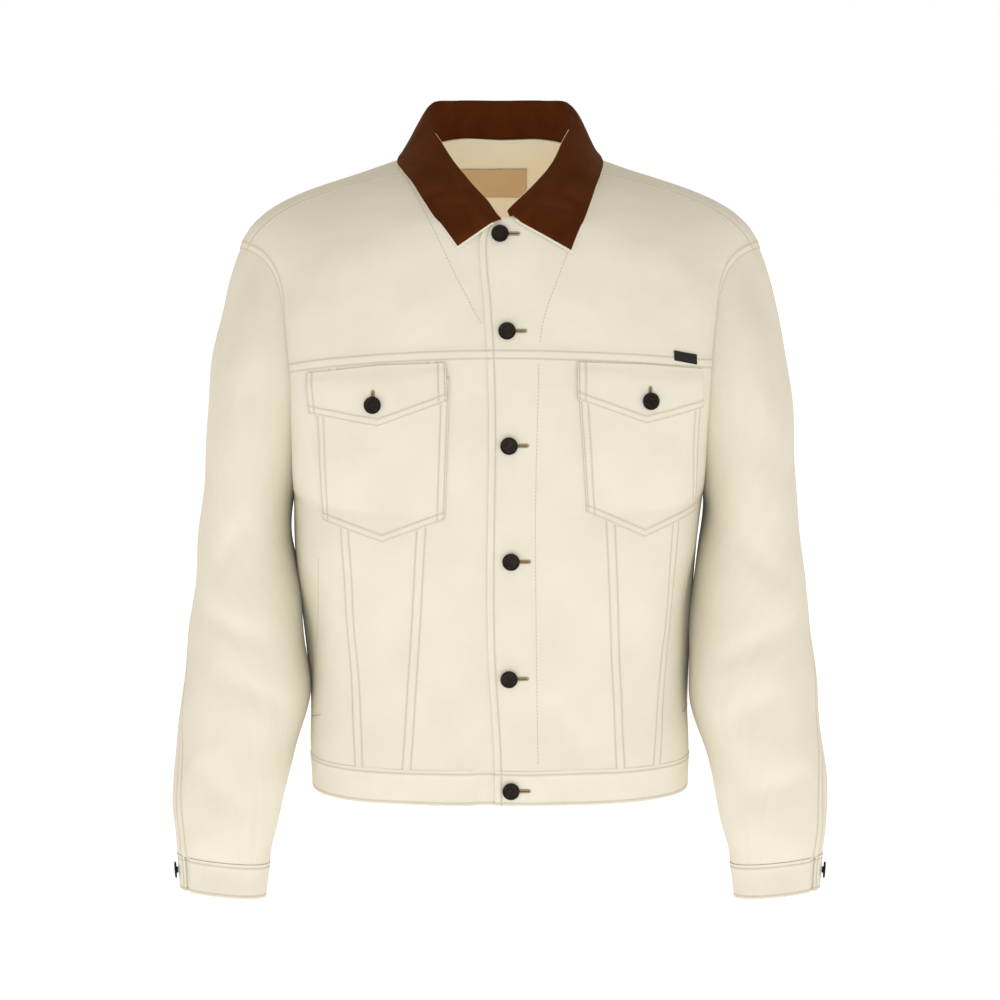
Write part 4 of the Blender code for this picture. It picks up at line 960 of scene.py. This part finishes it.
# A soft brushed nap: broad strokes of lighter and darker brown, fine pile and a low sheen
def napMaterial():
    material, tree, shader = startMaterial("brownNap", 0.88, Sheen_Weight=0.07, Sheen_Roughness=0.45)
    shader.inputs["Sheen Tint"].default_value = (0.85, 0.42, 0.18, 1)
    shader.inputs["Specular IOR Level"].default_value = 0.08
    link = tree.links.new
    mapped = addNode(tree, "ShaderNodeUVMap", (-6, 0), uv_map="cloth")
    strokes = addNode(tree, "ShaderNodeTexNoise", (-4, 0), Scale=22.0, Detail=5.0, Roughness=0.62,
                      Distortion=0.7)
    pile = addNode(tree, "ShaderNodeTexNoise", (-4, 2), Scale=950.0, Detail=2.0)
    cord = addNode(tree, "ShaderNodeTexWave", (-4, 3), wave_type="BANDS", bands_direction="X", Scale=115.0,
                   Distortion=1.2, Detail=1.0)
    for texture in (strokes, pile, cord):
        link(mapped.outputs[0], texture.inputs["Vector"])
    shades = ((0.34, napFinish["dark"]), (0.52, napFinish["cloth"]), (0.72, napFinish["light"]))
    ramp = colorRamp(tree, (-2, 0), shades)
    link(strokes.outputs["Fac"], ramp.inputs["Fac"])
    factor, first, second, brushed = blendColors(tree, (-1, 0))
    factor.default_value = 0.35
    second.default_value = (*napFinish["cloth"], 1)
    link(ramp.outputs["Color"], first)
    link(brushed, shader.inputs["Base Color"])
    height = addNode(tree, "ShaderNodeMath", (-2, 2), operation="MULTIPLY_ADD")
    height.inputs[1].default_value = 0.6
    link(cord.outputs["Fac"], height.inputs[0])
    link(pile.outputs["Fac"], height.inputs[2])
    emboss(tree, shader, height.outputs[0], 0.22, 0.0005)
    return material


# Blackened bronze, a little rubbed
def bronzeMaterial():
    material, tree, shader = startMaterial("darkBronze", bronzeFinish["roughness"], Metallic=0.85)
    link = tree.links.new
    place = addNode(tree, "ShaderNodeTexCoord", (-5, 0))
    rubbed = addNode(tree, "ShaderNodeTexNoise", (-4, 0), Scale=420.0, Detail=4.0, Roughness=0.6)
    link(place.outputs["Object"], rubbed.inputs["Vector"])
    ramp = colorRamp(tree, (-3, 0), ((0.45, bronzeFinish["metal"]), (0.80, bronzeFinish["worn"])))
    link(rubbed.outputs["Fac"], ramp.inputs["Fac"])
    link(ramp.outputs["Color"], shader.inputs["Base Color"])
    rough = addNode(tree, "ShaderNodeMapRange", (-3, 2))
    rough.inputs["To Min"].default_value, rough.inputs["To Max"].default_value = 0.30, 0.52
    link(rubbed.outputs["Fac"], rough.inputs["Value"])
    link(rough.outputs[0], shader.inputs["Roughness"])
    emboss(tree, shader, rubbed.outputs["Fac"], 0.15, 0.0002)
    return material


def threadMaterial(name, thread, twist):
    material, tree, shader = startMaterial(name, 0.75, Sheen_Weight=0.2)
    link = tree.links.new
    place = addNode(tree, "ShaderNodeTexCoord", (-5, 0))
    plies = addNode(tree, "ShaderNodeTexNoise", (-4, 0), Scale=1500.0, Detail=1.0)
    link(place.outputs["Object"], plies.inputs["Vector"])
    factor, first, second, spun = blendColors(tree, (-2, 0))
    first.default_value, second.default_value = (*thread, 1), (*twist, 1)
    link(plies.outputs["Fac"], factor)
    link(spun, shader.inputs["Base Color"])
    emboss(tree, shader, plies.outputs["Fac"], 0.2, 0.0002)
    return material


twill = clothMaterial("creamTwill", **twillFinish)
bandTwill = clothMaterial("creamTwillBand", **bandFinish)
nap = napMaterial()
labelCloth = clothMaterial("beigeLabel", labelFinish["cloth"], labelFinish["thread"], labelFinish["pitch"],
                           mottle=0.4, bump=0.3, sheen=0.25)
tabCloth = clothMaterial("blackTab", tabFinish["cloth"], tabFinish["thread"], tabFinish["pitch"],
                         mottle=0.5, bump=0.3)
bronze = bronzeMaterial()
thread = threadMaterial("creamThread", **threadFinish)
piping = threadMaterial("creamPiping", **pipingFinish)
buttonholeThread = threadMaterial("khakiThread", **buttonholeFinish)
# painted shadow: near-black beads stand for the shade inside each buttonhole's open slit
slitShadowMaterial, _, slitShadowShader = startMaterial("buttonholeSlitShadow", 0.95)
slitShadowShader.inputs["Base Color"].default_value = (0.030, 0.022, 0.014, 1)
print("finishes made")

middleAcross = 0.5


# Rows of the body from one up to another, measured halfway across
def bodyRows(side, low, high, startSeam=True, endSeam=True):
    return stationsOf(lambda up: smoothBody(side, up, np.full_like(up, middleAcross)), low, high,
                      startSeam, endSeam)


def centreLine(up):
    return 0 * up


def sideLine(up):
    return np.ones_like(up)


# The rows of a front end on the chest seam, which rises towards the armhole
def bentToYoke(side, up, across, low, high):
    return low + (up - low) * (yokeSeam(side, across) - low) / (high - low)


def makeLowerFront(side):
    name = sideName(side)
    rows = bodyRows(side, hemSeamUp, yokeUp)
    lap = "placket" if side > 0 else "plain"
    inner, outer = partial(panelSeam, side, "inner"), partial(panelSeam, side, "outer")
    for panel, node, left, right, edges in (
        ("centreFront", "centre_front", partial(centreEdge, side), inner, {"start": lap, "end": "felled"}),
        ("pocketPanel", "pocket_panel", inner, outer, {"start": "felled", "end": "felled"}),
        ("sideFront", "side_front", outer, sideLine, {"start": "felled", "end": "plain"}),
    ):
        up, across = panelPlaces(partial(smoothBody, side), rows, left, right)
        up = bentToYoke(side, up, across, hemSeamUp, yokeUp)
        drop = frontDrop(side, up, across, underLapDrop)
        part = bodyPart(panel, "frontStitches", side, up, across, edges, drop)
        finishSheet([part], f"{panel}{name.title()}", f"{node}_{name}", clothThickness, twill)


def makeFrontYoke(side):
    name = sideName(side)
    low = bodyRows(side, yokeUp, neckFrontUp, True, False)
    high = bodyRows(side, neckFrontUp, shoulderSeamUp, False, True)
    parts = []
    up, across = panelPlaces(partial(smoothBody, side), low, partial(centreEdge, side), centreLine,
                             side > 0, False, fineCell)
    edges = {"low": "lapped"} | ({"start": "placket"} if side > 0 else {})
    parts.append(bodyPart("strip", "yokeStitches", side, up, across, edges,
                          frontDrop(side, up, across, underLapDrop)))
    rows = np.concatenate([low, high[1:]])
    up, across = panelPlaces(partial(smoothBody, side), rows, centreLine, sideLine, False, True)
    # only the lower rows follow the rising chest seam
    bend = np.clip((neckFrontUp - up) / (neckFrontUp - yokeUp), 0, 1)
    up = up + (yokeSeam(side, across) - yokeUp) * bend
    edges = {"low": "lapped", "end": "armhole"}
    parts.append(bodyPart("yoke", "yokeStitches", side, up, across, edges,
                          frontDrop(side, up, across, underLapDrop)))
    finishSheet(parts, f"frontYoke{name.title()}", f"front_yoke_{name}", clothThickness, twill)


def makeBack():
    for name, node, low, high, edges, hangsFrom in (
        ("backYoke", "back_yoke", shoulderSeamUp, backYokeUp,
         {"low": "lappedOnce", "high": "lapped", "end": "armhole"}, ["brownCollar"]),
        ("lowerBack", "back", backYokeUp, 2 - hemSeamUp, {"end": "plain"}, ["backYoke"]),
    ):
        parts = []
        for side in (-1, 1):
            rows = bodyRows(side, low, high)
            if low < neckBackUp < high:
                above = bodyRows(side, low, neckBackUp, True, False)
                rows = np.concatenate([above, bodyRows(side, neckBackUp, high, False, True)[1:]])
            up, across = panelPlaces(partial(smoothBody, side), rows, centreLine, sideLine, False, True)
            parts.append(bodyPart(name, "backStitches", side, up, across, edges))
        finishSheet(parts, name, node, clothThickness, twill)


def makeHemBand():
    parts = []
    edges = {"low": "bandEdge", "high": "bandTop"}
    for side in (-1, 1):
        rows = bodyRows(side, 0.0, hemSeamUp)
        up, across = panelPlaces(partial(smoothBody, side), rows, partial(centreEdge, side), sideLine,
                                 side > 0, False)
        drop = frontDrop(side, up, across, underBandDrop)
        lapped = edges | ({"start": "placket"} if side > 0 else {})
        parts.append(bodyPart("band", "hemStitches", side, up, across, lapped, drop + bandRise))
        up, across = panelPlaces(partial(smoothBody, side), 2 - rows, centreLine, sideLine, False, False)
        parts.append(bodyPart("band", "hemStitches", side, up, across, edges, bandRise))
    finishSheet(parts, "hemBand", "hem_band", bandThickness, bandTwill)


sleeveTurn = (0.1, 2.0)


# The angle of the seam between a sleeve's two pieces
def seamAngle(down):
    top = angleAt(sleeveSeamUp)
    return top + (sleeveSeamAtCuff - top) * eased(*sleeveTurn, down)


def sleeveSurface(side):
    return lambda down, angle: smoothSleeve(side, angle, down)


# The same with its folds, for a part of a sleeve or cuff
def foldedSleeve(side):
    return lambda down, angle, lift: sleeve(side, angle, down, lift)


# Rows of the sleeve from one to another, measured along its front
def sleeveRows(side, low, high):
    return stationsOf(lambda down: smoothSleeve(side, np.full_like(down, 90.0), down), low, high)


def makeSleeve(side):
    name = sideName(side)
    rows = sleeveRows(side, 0.0, 2.0)
    for piece, node, left, right, edges in (
        ("topSleeve", "top_sleeve_", lambda down: 0 * down, seamAngle, {"end": "felled"}),
        ("underSleeve", "under_sleeve_", seamAngle, lambda down: 0 * down + 360, {"start": "felled"}),
    ):
        down, angle = panelPlaces(sleeveSurface(side), rows, left, right)
        part = sewnPart(piece, "sleeveStitches", foldedSleeve(side), down, angle, edges)
        finishSheet([part], f"{piece}{name.title()}", node + name, clothThickness, twill)


def makeCuff(side):
    name = sideName(side)
    start = sleeveSeamAtCuff
    rows = sleeveRows(side, 2.0 + cuffGap, 3.0)
    down, angle = panelPlaces(sleeveSurface(side), rows, lambda down: 0 * down + start,
                              lambda down: 0 * down + start + 360 + cuffLap, True, True, fineCell)
    drop = underBandDrop * eased(start + cuffFall[0], start + cuffFall[1], angle)
    edges = {"low": "bandTop", "high": "bandEdge", "start": "bandEdge"}
    part = sewnPart("cuff", "cuffStitches", foldedSleeve(side), down, angle, edges, bandRise - drop)
    finishSheet([part], f"cuff{name.title()}", f"cuff_{name}", bandThickness, bandTwill)


# The collar's waves: how many from front to front and from roll to edge, how deep, where each starts.
underCollarFrom, collarLayerGap = 0.48, 0.0002
collarWaves = ((5, 1.0, 0.0007, 0.4), (9, 0.6, 0.0004, 2.2), (3, 1.4, 0.0006, 4.4))


def collarPart(name, side, around, profile, lift):
    points = collarSheet(side, around, profile)
    normals = collarNormal(side, around, profile)
    points[:, 0, 0] = 0
    normals[:, 0, 0] = 0
    normals = unit(normals)
    leaf = eased(standShare, 0.6, profile) * (1 - eased(0.80, 0.97, profile)) * (1 - eased(0.9, 0.99, around))
    wave = sum(deep * np.sin(side * turns * around + math.pi * folds * profile + start)
               for turns, folds, deep, start in collarWaves)
    rim = np.minimum(lengthsAlong(points, 0)[-1:] - lengthsAlong(points, 0), 10)
    end = lengthsAlong(points, 1)[:, -1:] - lengthsAlong(points, 1)
    rolled = 0.0007 * (1 - eased(0, 0.0018, np.minimum(rim, end)))
    points = points + normals * (lift + leaf * wave - rolled)[..., None]
    none = np.zeros(around.shape)
    return clothPart(name, points, normals, {"stitchGrooveAndShade": none, "pucker": none})


def makeCollar():
    for name, node, furthest, low, high, thickness, lift, material, slot in (
        ("brownCollar", "collar", collarShortEnd, 0.0, collarShortEdge, collarCloth, 0.0, nap, "nap"),
        ("underCollar", "under_collar", 1.0, underCollarFrom, 1.0, underCollar, -collarCloth - collarLayerGap,
         bandTwill, "band"),
    ):
        parts = []
        profiles = stationsOf(lambda p: collarSheet(1, np.full_like(p, 0.5), p), low, high, False, True,
                              fineCell)
        for side in (-1, 1):
            rounds = stationsOf(lambda r: collarSheet(side, r, np.full_like(r, 0.7)), 0.0, furthest,
                                False, True, 0.0035)
            profile, around = grid(profiles, rounds)
            parts.append(collarPart(name, side, around, profile, lift))
        finishSheet(parts, name, node, thickness, material)


# Pockets and flaps: how far each lies off the cloth, and what it lies on.
patchFacts = {
    "pocket": {"shape": pocketShape, "rise": (pocketRise, pocketRise), "thickness": pocketCloth,
               "bulge": 0.0012, "near": 0.55, "on": "pocketPanel"},
    "flap": {"shape": flapShape, "rise": flapRise, "thickness": flapCloth, "bulge": 0.0008, "near": 0.6,
             "on": "pocket"},
}
patchEdges = {"start": "patch", "end": "patch", "high": "patch"}
tabEdges = {"start": "tabEdge", "end": "tabEdge", "low": "tabEdge", "high": "tabEdge"}


# Places all over a patch: its up and across, and the shares of the way down and along it
def patchPlaces(side, outline, near, cell):
    top, bottom = np.array(outline["top"]), np.array(outline["bottom"])
    spots = np.linspace(0, 1, len(top))
    width = abs(top[-1, 0] - top[0, 0])
    if len(top) == 3:
        half = seamShares([width / 2], True, False, cell)[0] / 2
        shares = np.concatenate([half, 1 - half[::-1][1:]])
    else:
        shares = seamShares([width], False, False, cell)[0]
    height = abs(top[:, 1].mean() - bottom[:, 1].mean())
    downs = seamShares([height], len(top) == 3, len(top) == 3, cell)[0]
    down, share = grid(downs, shares)
    upper = stack(*(np.interp(share, spots, top[:, k]) for k in (0, 1)))
    lower = stack(*(np.interp(share, spots, bottom[:, k]) for k in (0, 1)))
    place = upper + (lower - upper) * down[..., None]
    return (*placeAt(side, place[..., 0], place[..., 1], near), down, share)


def makePatch(name, node, side, outline, facts, edges, material, cell=fineCell):
    up, across, down, share = patchPlaces(side, outline, facts["near"], cell)
    low, high = facts["rise"]
    level = low + (high - low) * eased(0, flapFall, down)
    level = level + facts["bulge"] * np.sin(math.pi * share) * np.sin(math.pi * np.clip(down * 1.1, 0, 1))
    part = bodyPart(name, "pocketStitches", side, up, across, edges, level, level)
    finishSheet([part], name, node, facts["thickness"], material)


def makePatches():
    for kind, facts in patchFacts.items():
        for side in (-1, 1):
            name = sideName(side)
            makePatch(f"{kind}{name.title()}", f"{kind}_{name}", side, facts["shape"][name], facts,
                      patchEdges, twill)
    makePatch("blackTab", "tab", 1, tabShape, tabFacts, tabEdges, tabCloth, 0.0015)
    makePatch("neckLabel", "neck_label", 1, labelShape, labelFacts, tabEdges, labelCloth,
              0.0025)


flapButtonLift, buttonLift = 0.0008, 0.0003
buttonFacts = {"radius": 0.0082, "shankRadius": 0.0032, "shankHeight": 0.0014, "sides": 40}
# How far in each ring of the cap's face is, and how far up or down the face goes there.
buttonRings = (
    (0.0007, 0.0005), (0.0007, -0.0001), (0.0006, -0.0006), (0.0016, 0.0000), (0.0003, 0.00025),
    (0.0003, -0.00025), (0.0013, 0.0000), (0.0003, 0.00025), (0.0003, -0.00025),
)


# One button standing on the origin, facing up, made from a disc
def buttonMaster():
    facts = buttonFacts
    bpy.ops.object.select_all(action="DESELECT")
    bpy.ops.mesh.primitive_circle_add(vertices=facts["sides"], radius=facts["shankRadius"], fill_type="NGON")
    piece = bpy.context.object
    piece.name = "buttonMaster"
    bpy.ops.object.mode_set(mode="EDIT")
    bpy.ops.mesh.select_all(action="SELECT")
    move = bpy.ops.mesh.extrude_region_move
    move(TRANSFORM_OT_translate={"value": (0, 0, facts["shankHeight"])})
    for size, rise in ((facts["radius"] / facts["shankRadius"] - 0.22, 0.0002), (1.088, 0.0008)):
        move(TRANSFORM_OT_translate={"value": (0, 0, rise)})
        bpy.ops.transform.resize(value=(size, size, 1))
    move(TRANSFORM_OT_translate={"value": (0, 0, 0.0006)})
    for inward, rise in buttonRings:
        bpy.ops.mesh.inset(thickness=inward, depth=0)
        bpy.ops.transform.translate(value=(0, 0, rise))
    bpy.ops.mesh.select_all(action="SELECT")
    bpy.ops.mesh.normals_make_consistent(inside=False)
    bpy.ops.object.mode_set(mode="OBJECT")
    bpy.ops.object.shade_smooth_by_angle(angle=math.radians(38))
    return piece


def placeButton(master, name, node, point, normal):
    level = unit(np.cross(np.array([0.0, 0.0, 1.0]), normal))
    turned = np.stack([level, np.cross(normal, level), normal], axis=1)
    piece = master.copy()
    piece.data = master.data.copy()
    piece.name = piece.data.name = name
    bpy.context.scene.collection.objects.link(piece)
    places = np.zeros(len(piece.data.vertices) * 3)
    piece.data.vertices.foreach_get("co", places)
    piece.data.vertices.foreach_set("co", (places.reshape(-1, 3) @ turned.T + point).ravel())
    piece.data.update()
    piece.data.materials.append(bronze)
    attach(piece, "root")
    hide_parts(node)


def makeButtons():
    master = buttonMaster()
    for side in (-1, 1):
        name = sideName(side)
        up, across = placeAt(side, *flapButtons[name], 0.6)
        point, normal = body(side, up, across, flapRise[1] + flapButtonLift)
        placeButton(master, f"flapButton{name.title()}", f"flap_button_{name}", point, normal)
        point, normal = sleeve(side, cuffButtonAngle, 2.5, bandRise + buttonLift)
        placeButton(master, f"cuffButton{name.title()}", f"cuff_button_{name}", point, normal)
    for number, (x, z) in enumerate(frontButtons, 1):
        up, across = placeAt(1, x, z, 0.4)
        point, normal = body(1, up, across, buttonLift + bandRise * (up < hemSeamUp))
        placeButton(master, f"frontButton{number}", f"front_button_{number}", point, normal)
    bpy.data.objects.remove(master)


stitchFacts = {"length": 0.0026, "radius": 0.00030, "pitch": 0.0036, "sides": 6, "rings": 4, "sink": 0.0001}
stitchLift = 0.0002


# One stitch lying along x, a slim bead that all rows of stitches are made of
def stitchMaster():
    bpy.ops.object.select_all(action="DESELECT")
    bpy.ops.mesh.primitive_uv_sphere_add(segments=stitchFacts["sides"], ring_count=stitchFacts["rings"],
                                         radius=1, rotation=(0, math.pi / 2, 0))
    piece = bpy.context.object
    bpy.ops.object.transform_apply(location=True, rotation=True, scale=True)
    places = np.zeros(len(piece.data.vertices) * 3)
    piece.data.vertices.foreach_get("co", places)
    faces = [tuple(face.vertices) for face in piece.data.polygons]
    bpy.data.objects.remove(piece)
    return places.reshape(-1, 3), faces


stitchPlaces, stitchFaces = stitchMaster()


# Copies of the stitch at each point, lying along ways, on cloth that faces along normals
def stitchMesh(name, points, ways, normals, length, radius, material):
    ways = unit(ways)
    normals = unit(normals - ways * np.sum(ways * normals, axis=-1, keepdims=True))
    across = np.cross(normals, ways)
    shape = stitchPlaces * np.array([length / 2, radius, radius])
    placed = (points[:, None] + shape[None, :, 0:1] * ways[:, None] + shape[None, :, 1:2] * across[:, None]
              + shape[None, :, 2:3] * normals[:, None]).reshape(-1, 3)
    count = len(stitchPlaces)
    faces = [tuple(v + k * count for v in face) for k in range(len(points)) for face in stitchFaces]
    mesh = bpy.data.meshes.new(name)
    mesh.from_pydata(placed.tolist(), [], faces)
    mesh.shade_smooth()
    mesh.materials.append(material)
    piece = bpy.data.objects.new(name, mesh)
    bpy.context.scene.collection.objects.link(piece)
    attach(piece, "root")
    return piece


# Points a stitch apart along a line, with the way that the line runs and the cloth's normal there
def stitchesAlong(line, normals, pitch):
    run = lengthsAlong(line, 0)
    if run[-1] < pitch:
        return None
    middles = np.arange(pitch / 2, run[-1] - pitch * 0.4, pitch)
    spot = np.stack([np.interp(middles, run, line[:, k]) for k in range(3)], axis=-1)
    ahead = np.stack([np.interp(middles + 0.0008, run, line[:, k]) for k in range(3)], axis=-1)
    behind = np.stack([np.interp(middles - 0.0008, run, line[:, k]) for k in range(3)], axis=-1)
    facing = np.stack([np.interp(middles, run, normals[:, k]) for k in range(3)], axis=-1)
    return spot, ahead - behind, facing


# Rows of stitches that stitchesAlong found, as one piece
def layStitches(name, found, length, radius, material, sink=0.0):
    places, ways, normals = (np.concatenate([row[k] for row in found if row is not None]) for k in range(3))
    normals = unit(normals)
    stitchMesh(name, places - normals * sink, ways, normals, length, radius, material)
    return len(places)


# A row of stitches through places on the body, each x and z
def sewPlaces(area, side, places, near, lift=0.0, step=0.004):
    places = np.array(places, float)
    run = lengthsAlong(places, 0)
    at = np.linspace(0, run[-1], max(int(run[-1] / step), 2) + 1)
    x, z = (through(run, places[:, k], at) for k in (0, 1))
    up, across = placeAt(side, x * side, z, near)
    sewn.setdefault(area, []).append(body(side, up, across, lift))


# Rows that lie away from any seam: the facing, the placket's hidden edge and the hand pockets
facingRows = {
    "left": (
        (-0.0931, -0.0235), (-0.0654, -0.0705), (-0.0409, -0.1204), (-0.0279, -0.1453), (-0.0167, -0.1656),
    ),
    "right": ((0.0634, -0.0982), (0.0526, -0.1259), (0.0456, -0.1444), (0.0395, -0.1656), (0.0368, -0.1850)),
    "rightLower": (
        (0.0361, -0.2010), (0.0353, -0.2351), (0.0331, -0.3473), (0.0338, -0.4385), (0.0360, -0.5841),
    ),
}
handPocketRows = {
    "left": ((-0.1721, -0.3879), (-0.1760, -0.4400), (-0.1815, -0.5000), (-0.1855, -0.5519)),
    "right": ((0.1791, -0.3933), (0.1785, -0.4500), (0.1782, -0.5000), (0.1786, -0.5439)),
}


def makeSewing():
    sewPlaces("frontStitches", -1, facingRows["left"], 0.88, stitchLift)
    sewPlaces("frontStitches", 1, facingRows["right"], 0.78, stitchLift)
    sewPlaces("frontStitches", 1, facingRows["rightLower"], 0.45, stitchLift)
    for side in (-1, 1):
        sewPlaces("frontStitches", side, handPocketRows[sideName(side)], 0.25, stitchLift)
    facts = stitchFacts
    for area, rows in sewn.items():
        found = [stitchesAlong(*row, facts["pitch"]) for row in rows]
        count = layStitches(area, found, facts["length"], facts["radius"], thread, facts["sink"])
        print(area, count, "stitches")


buttonholeFacts = {"length": 0.0165, "start": 0.0040, "reach": 0.0011, "stitches": 24, "onFlap": 0.72}
rollEdgeFacts = {
    "around": (0.56, 0.985), "below": 0.86, "rise": 0.0004, "pitch": 0.0007, "length": 0.0024,
    "radius": 0.00050,
}
barTackFacts = {"width": 0.0011, "stitches": 14}


# Places on the front of the cloth, for points given as x and z away from a middle
def onCloth(side, middle, x, z, near, lift):
    up, across = placeAt(side, (middle[0] + x) * side, middle[1] + z, near)
    return body(side, up, across, lift)


# The under collar's edge, which shows as a fine roll of cream along the inner side of each front
def makeRollEdges():
    facts = rollEdgeFacts
    found = []
    for side in (-1, 1):
        around = np.linspace(*facts["around"], 60)
        profile = np.full_like(around, standShare * facts["below"])
        normals = collarNormal(side, around, profile)
        line = collarSheet(side, around, profile) + normals * facts["rise"]
        found.append(stitchesAlong(line, normals, facts["pitch"]))
    layStitches("rollEdges", found, facts["length"], facts["radius"], piping)


# Where each buttonhole is: its side, its button, the way it runs in x and z, a first up, its size
def buttonholePlaces():
    for number, place in enumerate(frontButtons, 1):
        yield 1, place, (1, 0), 0.4, buttonLift + bandRise * (number == 6), 1.0
    for side in (-1, 1):
        x, z = flapButtons[sideName(side)]
        yield side, (x * side, z), (0, 1), 0.6, flapRise[1] + flapButtonLift, buttonholeFacts["onFlap"]


# Each buttonhole is a row of short stitches on both sides, a ring round its end and a row of near-black beads
# painted as the shadow in its slit
def makeButtonholes():
    facts = buttonholeFacts
    reach = facts["reach"]
    bars, slitShadows = [], []
    for side, middle, way, near, lift, size in buttonholePlaces():

        def spot(along, beside, raised):
            return onCloth(side, middle, along * way[0] + beside * way[1], along * way[1] + beside * way[0],
                           near, lift + raised)

        along = np.linspace(facts["start"], facts["length"] * size, facts["stitches"])
        far = facts["length"] * size + reach * 0.4
        turn = np.linspace(-1.9, 1.9, 9)
        ends = [(along, beside * reach * 0.55, along, beside * reach * 1.45) for beside in (-1, 1)]
        ends.append((far + 0.5 * reach * np.cos(turn), 0.5 * reach * np.sin(turn),
                     far + 1.35 * reach * np.cos(turn), 1.35 * reach * np.sin(turn)))
        for innerAlong, innerBeside, outerAlong, outerBeside in ends:
            inner, normal = spot(innerAlong, innerBeside, stitchLift)
            outer, _ = spot(outerAlong, outerBeside, stitchLift)
            bars.append(((inner + outer) / 2, outer - inner, normal))
        # the slit is painted shadow: dark beads along the middle of the hole
        slitShadows.append(stitchesAlong(*spot(np.linspace(facts["start"], far, 10), 0.0, 0.0001), 0.0010))
    places, ways, normals = (np.concatenate([bar[k] for bar in bars]) for k in range(3))
    stitchMesh("buttonholeStitches", places, ways, normals, 0.0020, 0.00036, buttonholeThread)
    layStitches("buttonholeSlitShadows", slitShadows, 0.0022, 0.00044, slitShadowMaterial)


# Where each bar tack is: the side, x and z of its middle, its slant in degrees, its length, a first up.
barTacks = (
    (-1, -0.1772, -0.5470, 32, 0.0120, 0.14), (1, 0.1812, -0.5441, 12, 0.0065, 0.15),
)


def makeBarTacks():
    facts = barTackFacts
    bars = []
    for side, x, z, slant, length, near in barTacks:
        run = np.array([math.cos(math.radians(slant)), math.sin(math.radians(slant))])
        along = np.linspace(-0.5, 0.5, facts["stitches"]) * length
        middle, normal = onCloth(side, (x, z), along * run[0], along * run[1], near, 0.0004)
        aside, _ = onCloth(side, (x, z), along * run[0] - run[1] * 0.0005, along * run[1] + run[0] * 0.0005,
                           near, 0.0004)
        bars.append((middle, aside - middle, normal))
    places, ways, normals = (np.concatenate([bar[k] for bar in bars]) for k in range(3))
    stitchMesh("barTacks", places, ways, normals, facts["width"], 0.00030, buttonholeThread)


for side in (-1, 1):
    makeLowerFront(side)
    makeFrontYoke(side)
    makeSleeve(side)
    makeCuff(side)
print("fronts, yokes, sleeves and cuffs sewn")
makeBack()
makeHemBand()
makeCollar()
print("back, hem band and collar sewn")
makePatches()
makeButtons()
print("pockets, flaps, tab, label and buttons in place")
makeSewing()
makeRollEdges()
makeButtonholes()
makeBarTacks()
for sheet, width, length, area in flatSizes:
    print(f"{sheet}: cut {width * 1000:.0f} x {length * 1000:.0f} mm, {area:.4f} square metres")

studio = {
    "floorHeight": -1.4, "floorSize": 400.0, "floor": (0.80, 0.80, 0.80), "floorGlow": 0.75,
    "surround": 0.62, "surroundColor": (1.0, 0.95, 0.85), "backdrop": 1.0,
    "frontLight": 28.0, "frontColor": (0.90, 1.0, 1.12),
    "innerLight": 0.27, "innerColor": (1.0, 0.80, 0.56),
}
photograph = {"place": (0.0, -3.0, -0.043), "down": 5.71, "lens": 110.7}

bpy.ops.object.select_all(action="DESELECT")
bpy.ops.mesh.primitive_plane_add(size=studio["floorSize"], location=(0, 0, studio["floorHeight"]))
floor = bpy.context.object
floor.name = "studioFloor"
pale, _, paleShader = startMaterial("paleFloor", 0.95)
paleShader.inputs["Base Color"].default_value = (*studio["floor"], 1)
paleShader.inputs["Emission Color"].default_value = (1, 1, 1, 1)
paleShader.inputs["Emission Strength"].default_value = studio["floorGlow"]
floor.data.materials.append(pale)


def softLight(name, place, size, power, color, aim=(0.0, 0.0, -0.35)):
    light = bpy.data.lights.new(name, "AREA")
    light.color = color
    light.shape, light.size, light.energy = "DISK", size, power
    lamp = bpy.data.objects.new(name, light)
    bpy.context.scene.collection.objects.link(lamp)
    lamp.location = place
    way = np.array(aim) - np.array(place)
    flatWay = math.hypot(way[0], way[1])
    lamp.rotation_euler = (math.atan2(flatWay, -way[2]), 0, math.atan2(way[1], way[0]) - math.pi / 2)
    return lamp


softLight("frontLight", (0.0, -4.2, 0.1), 3.0, studio["frontLight"], studio["frontColor"])
softLight("innerLight", (0.0, -0.05, -0.26), 0.10, studio["innerLight"], studio["innerColor"],
          (0.0, 0.04, 0.0))

# A white backdrop all round, whose light on the cloth is softer than it looks.
world = bpy.data.worlds.new("paleStudio")
bpy.context.scene.world = world
world.use_nodes = True
worldTree = world.node_tree
surround = worldTree.nodes["Background"]
surround.inputs["Strength"].default_value = studio["surround"]
backdrop = addNode(worldTree, "ShaderNodeBackground", (0, 1), Strength=studio["backdrop"])
surround.inputs["Color"].default_value = (*studio["surroundColor"], 1)
backdrop.inputs["Color"].default_value = (1, 1, 1, 1)
seen = addNode(worldTree, "ShaderNodeLightPath", (0, 2))
either = addNode(worldTree, "ShaderNodeMixShader", (2, 0))
worldTree.links.new(seen.outputs["Is Camera Ray"], either.inputs[0])
worldTree.links.new(surround.outputs[0], either.inputs[1])
worldTree.links.new(backdrop.outputs[0], either.inputs[2])
worldTree.links.new(either.outputs[0], worldTree.nodes["World Output"].inputs["Surface"])
bpy.context.scene.view_settings.view_transform = "Standard"
bpy.context.scene.view_settings.look = "None"

camera = bpy.data.cameras.new("photograph")
camera.lens, camera.sensor_width = photograph["lens"], 36.0
camera.sensor_fit = "HORIZONTAL"
view = bpy.data.objects.new("photograph", camera)
bpy.context.scene.collection.objects.link(view)
view.location = photograph["place"]
view.rotation_euler = (math.radians(90 - photograph["down"]), 0, 0)
bpy.context.scene.camera = view
print("floor, light and camera set")
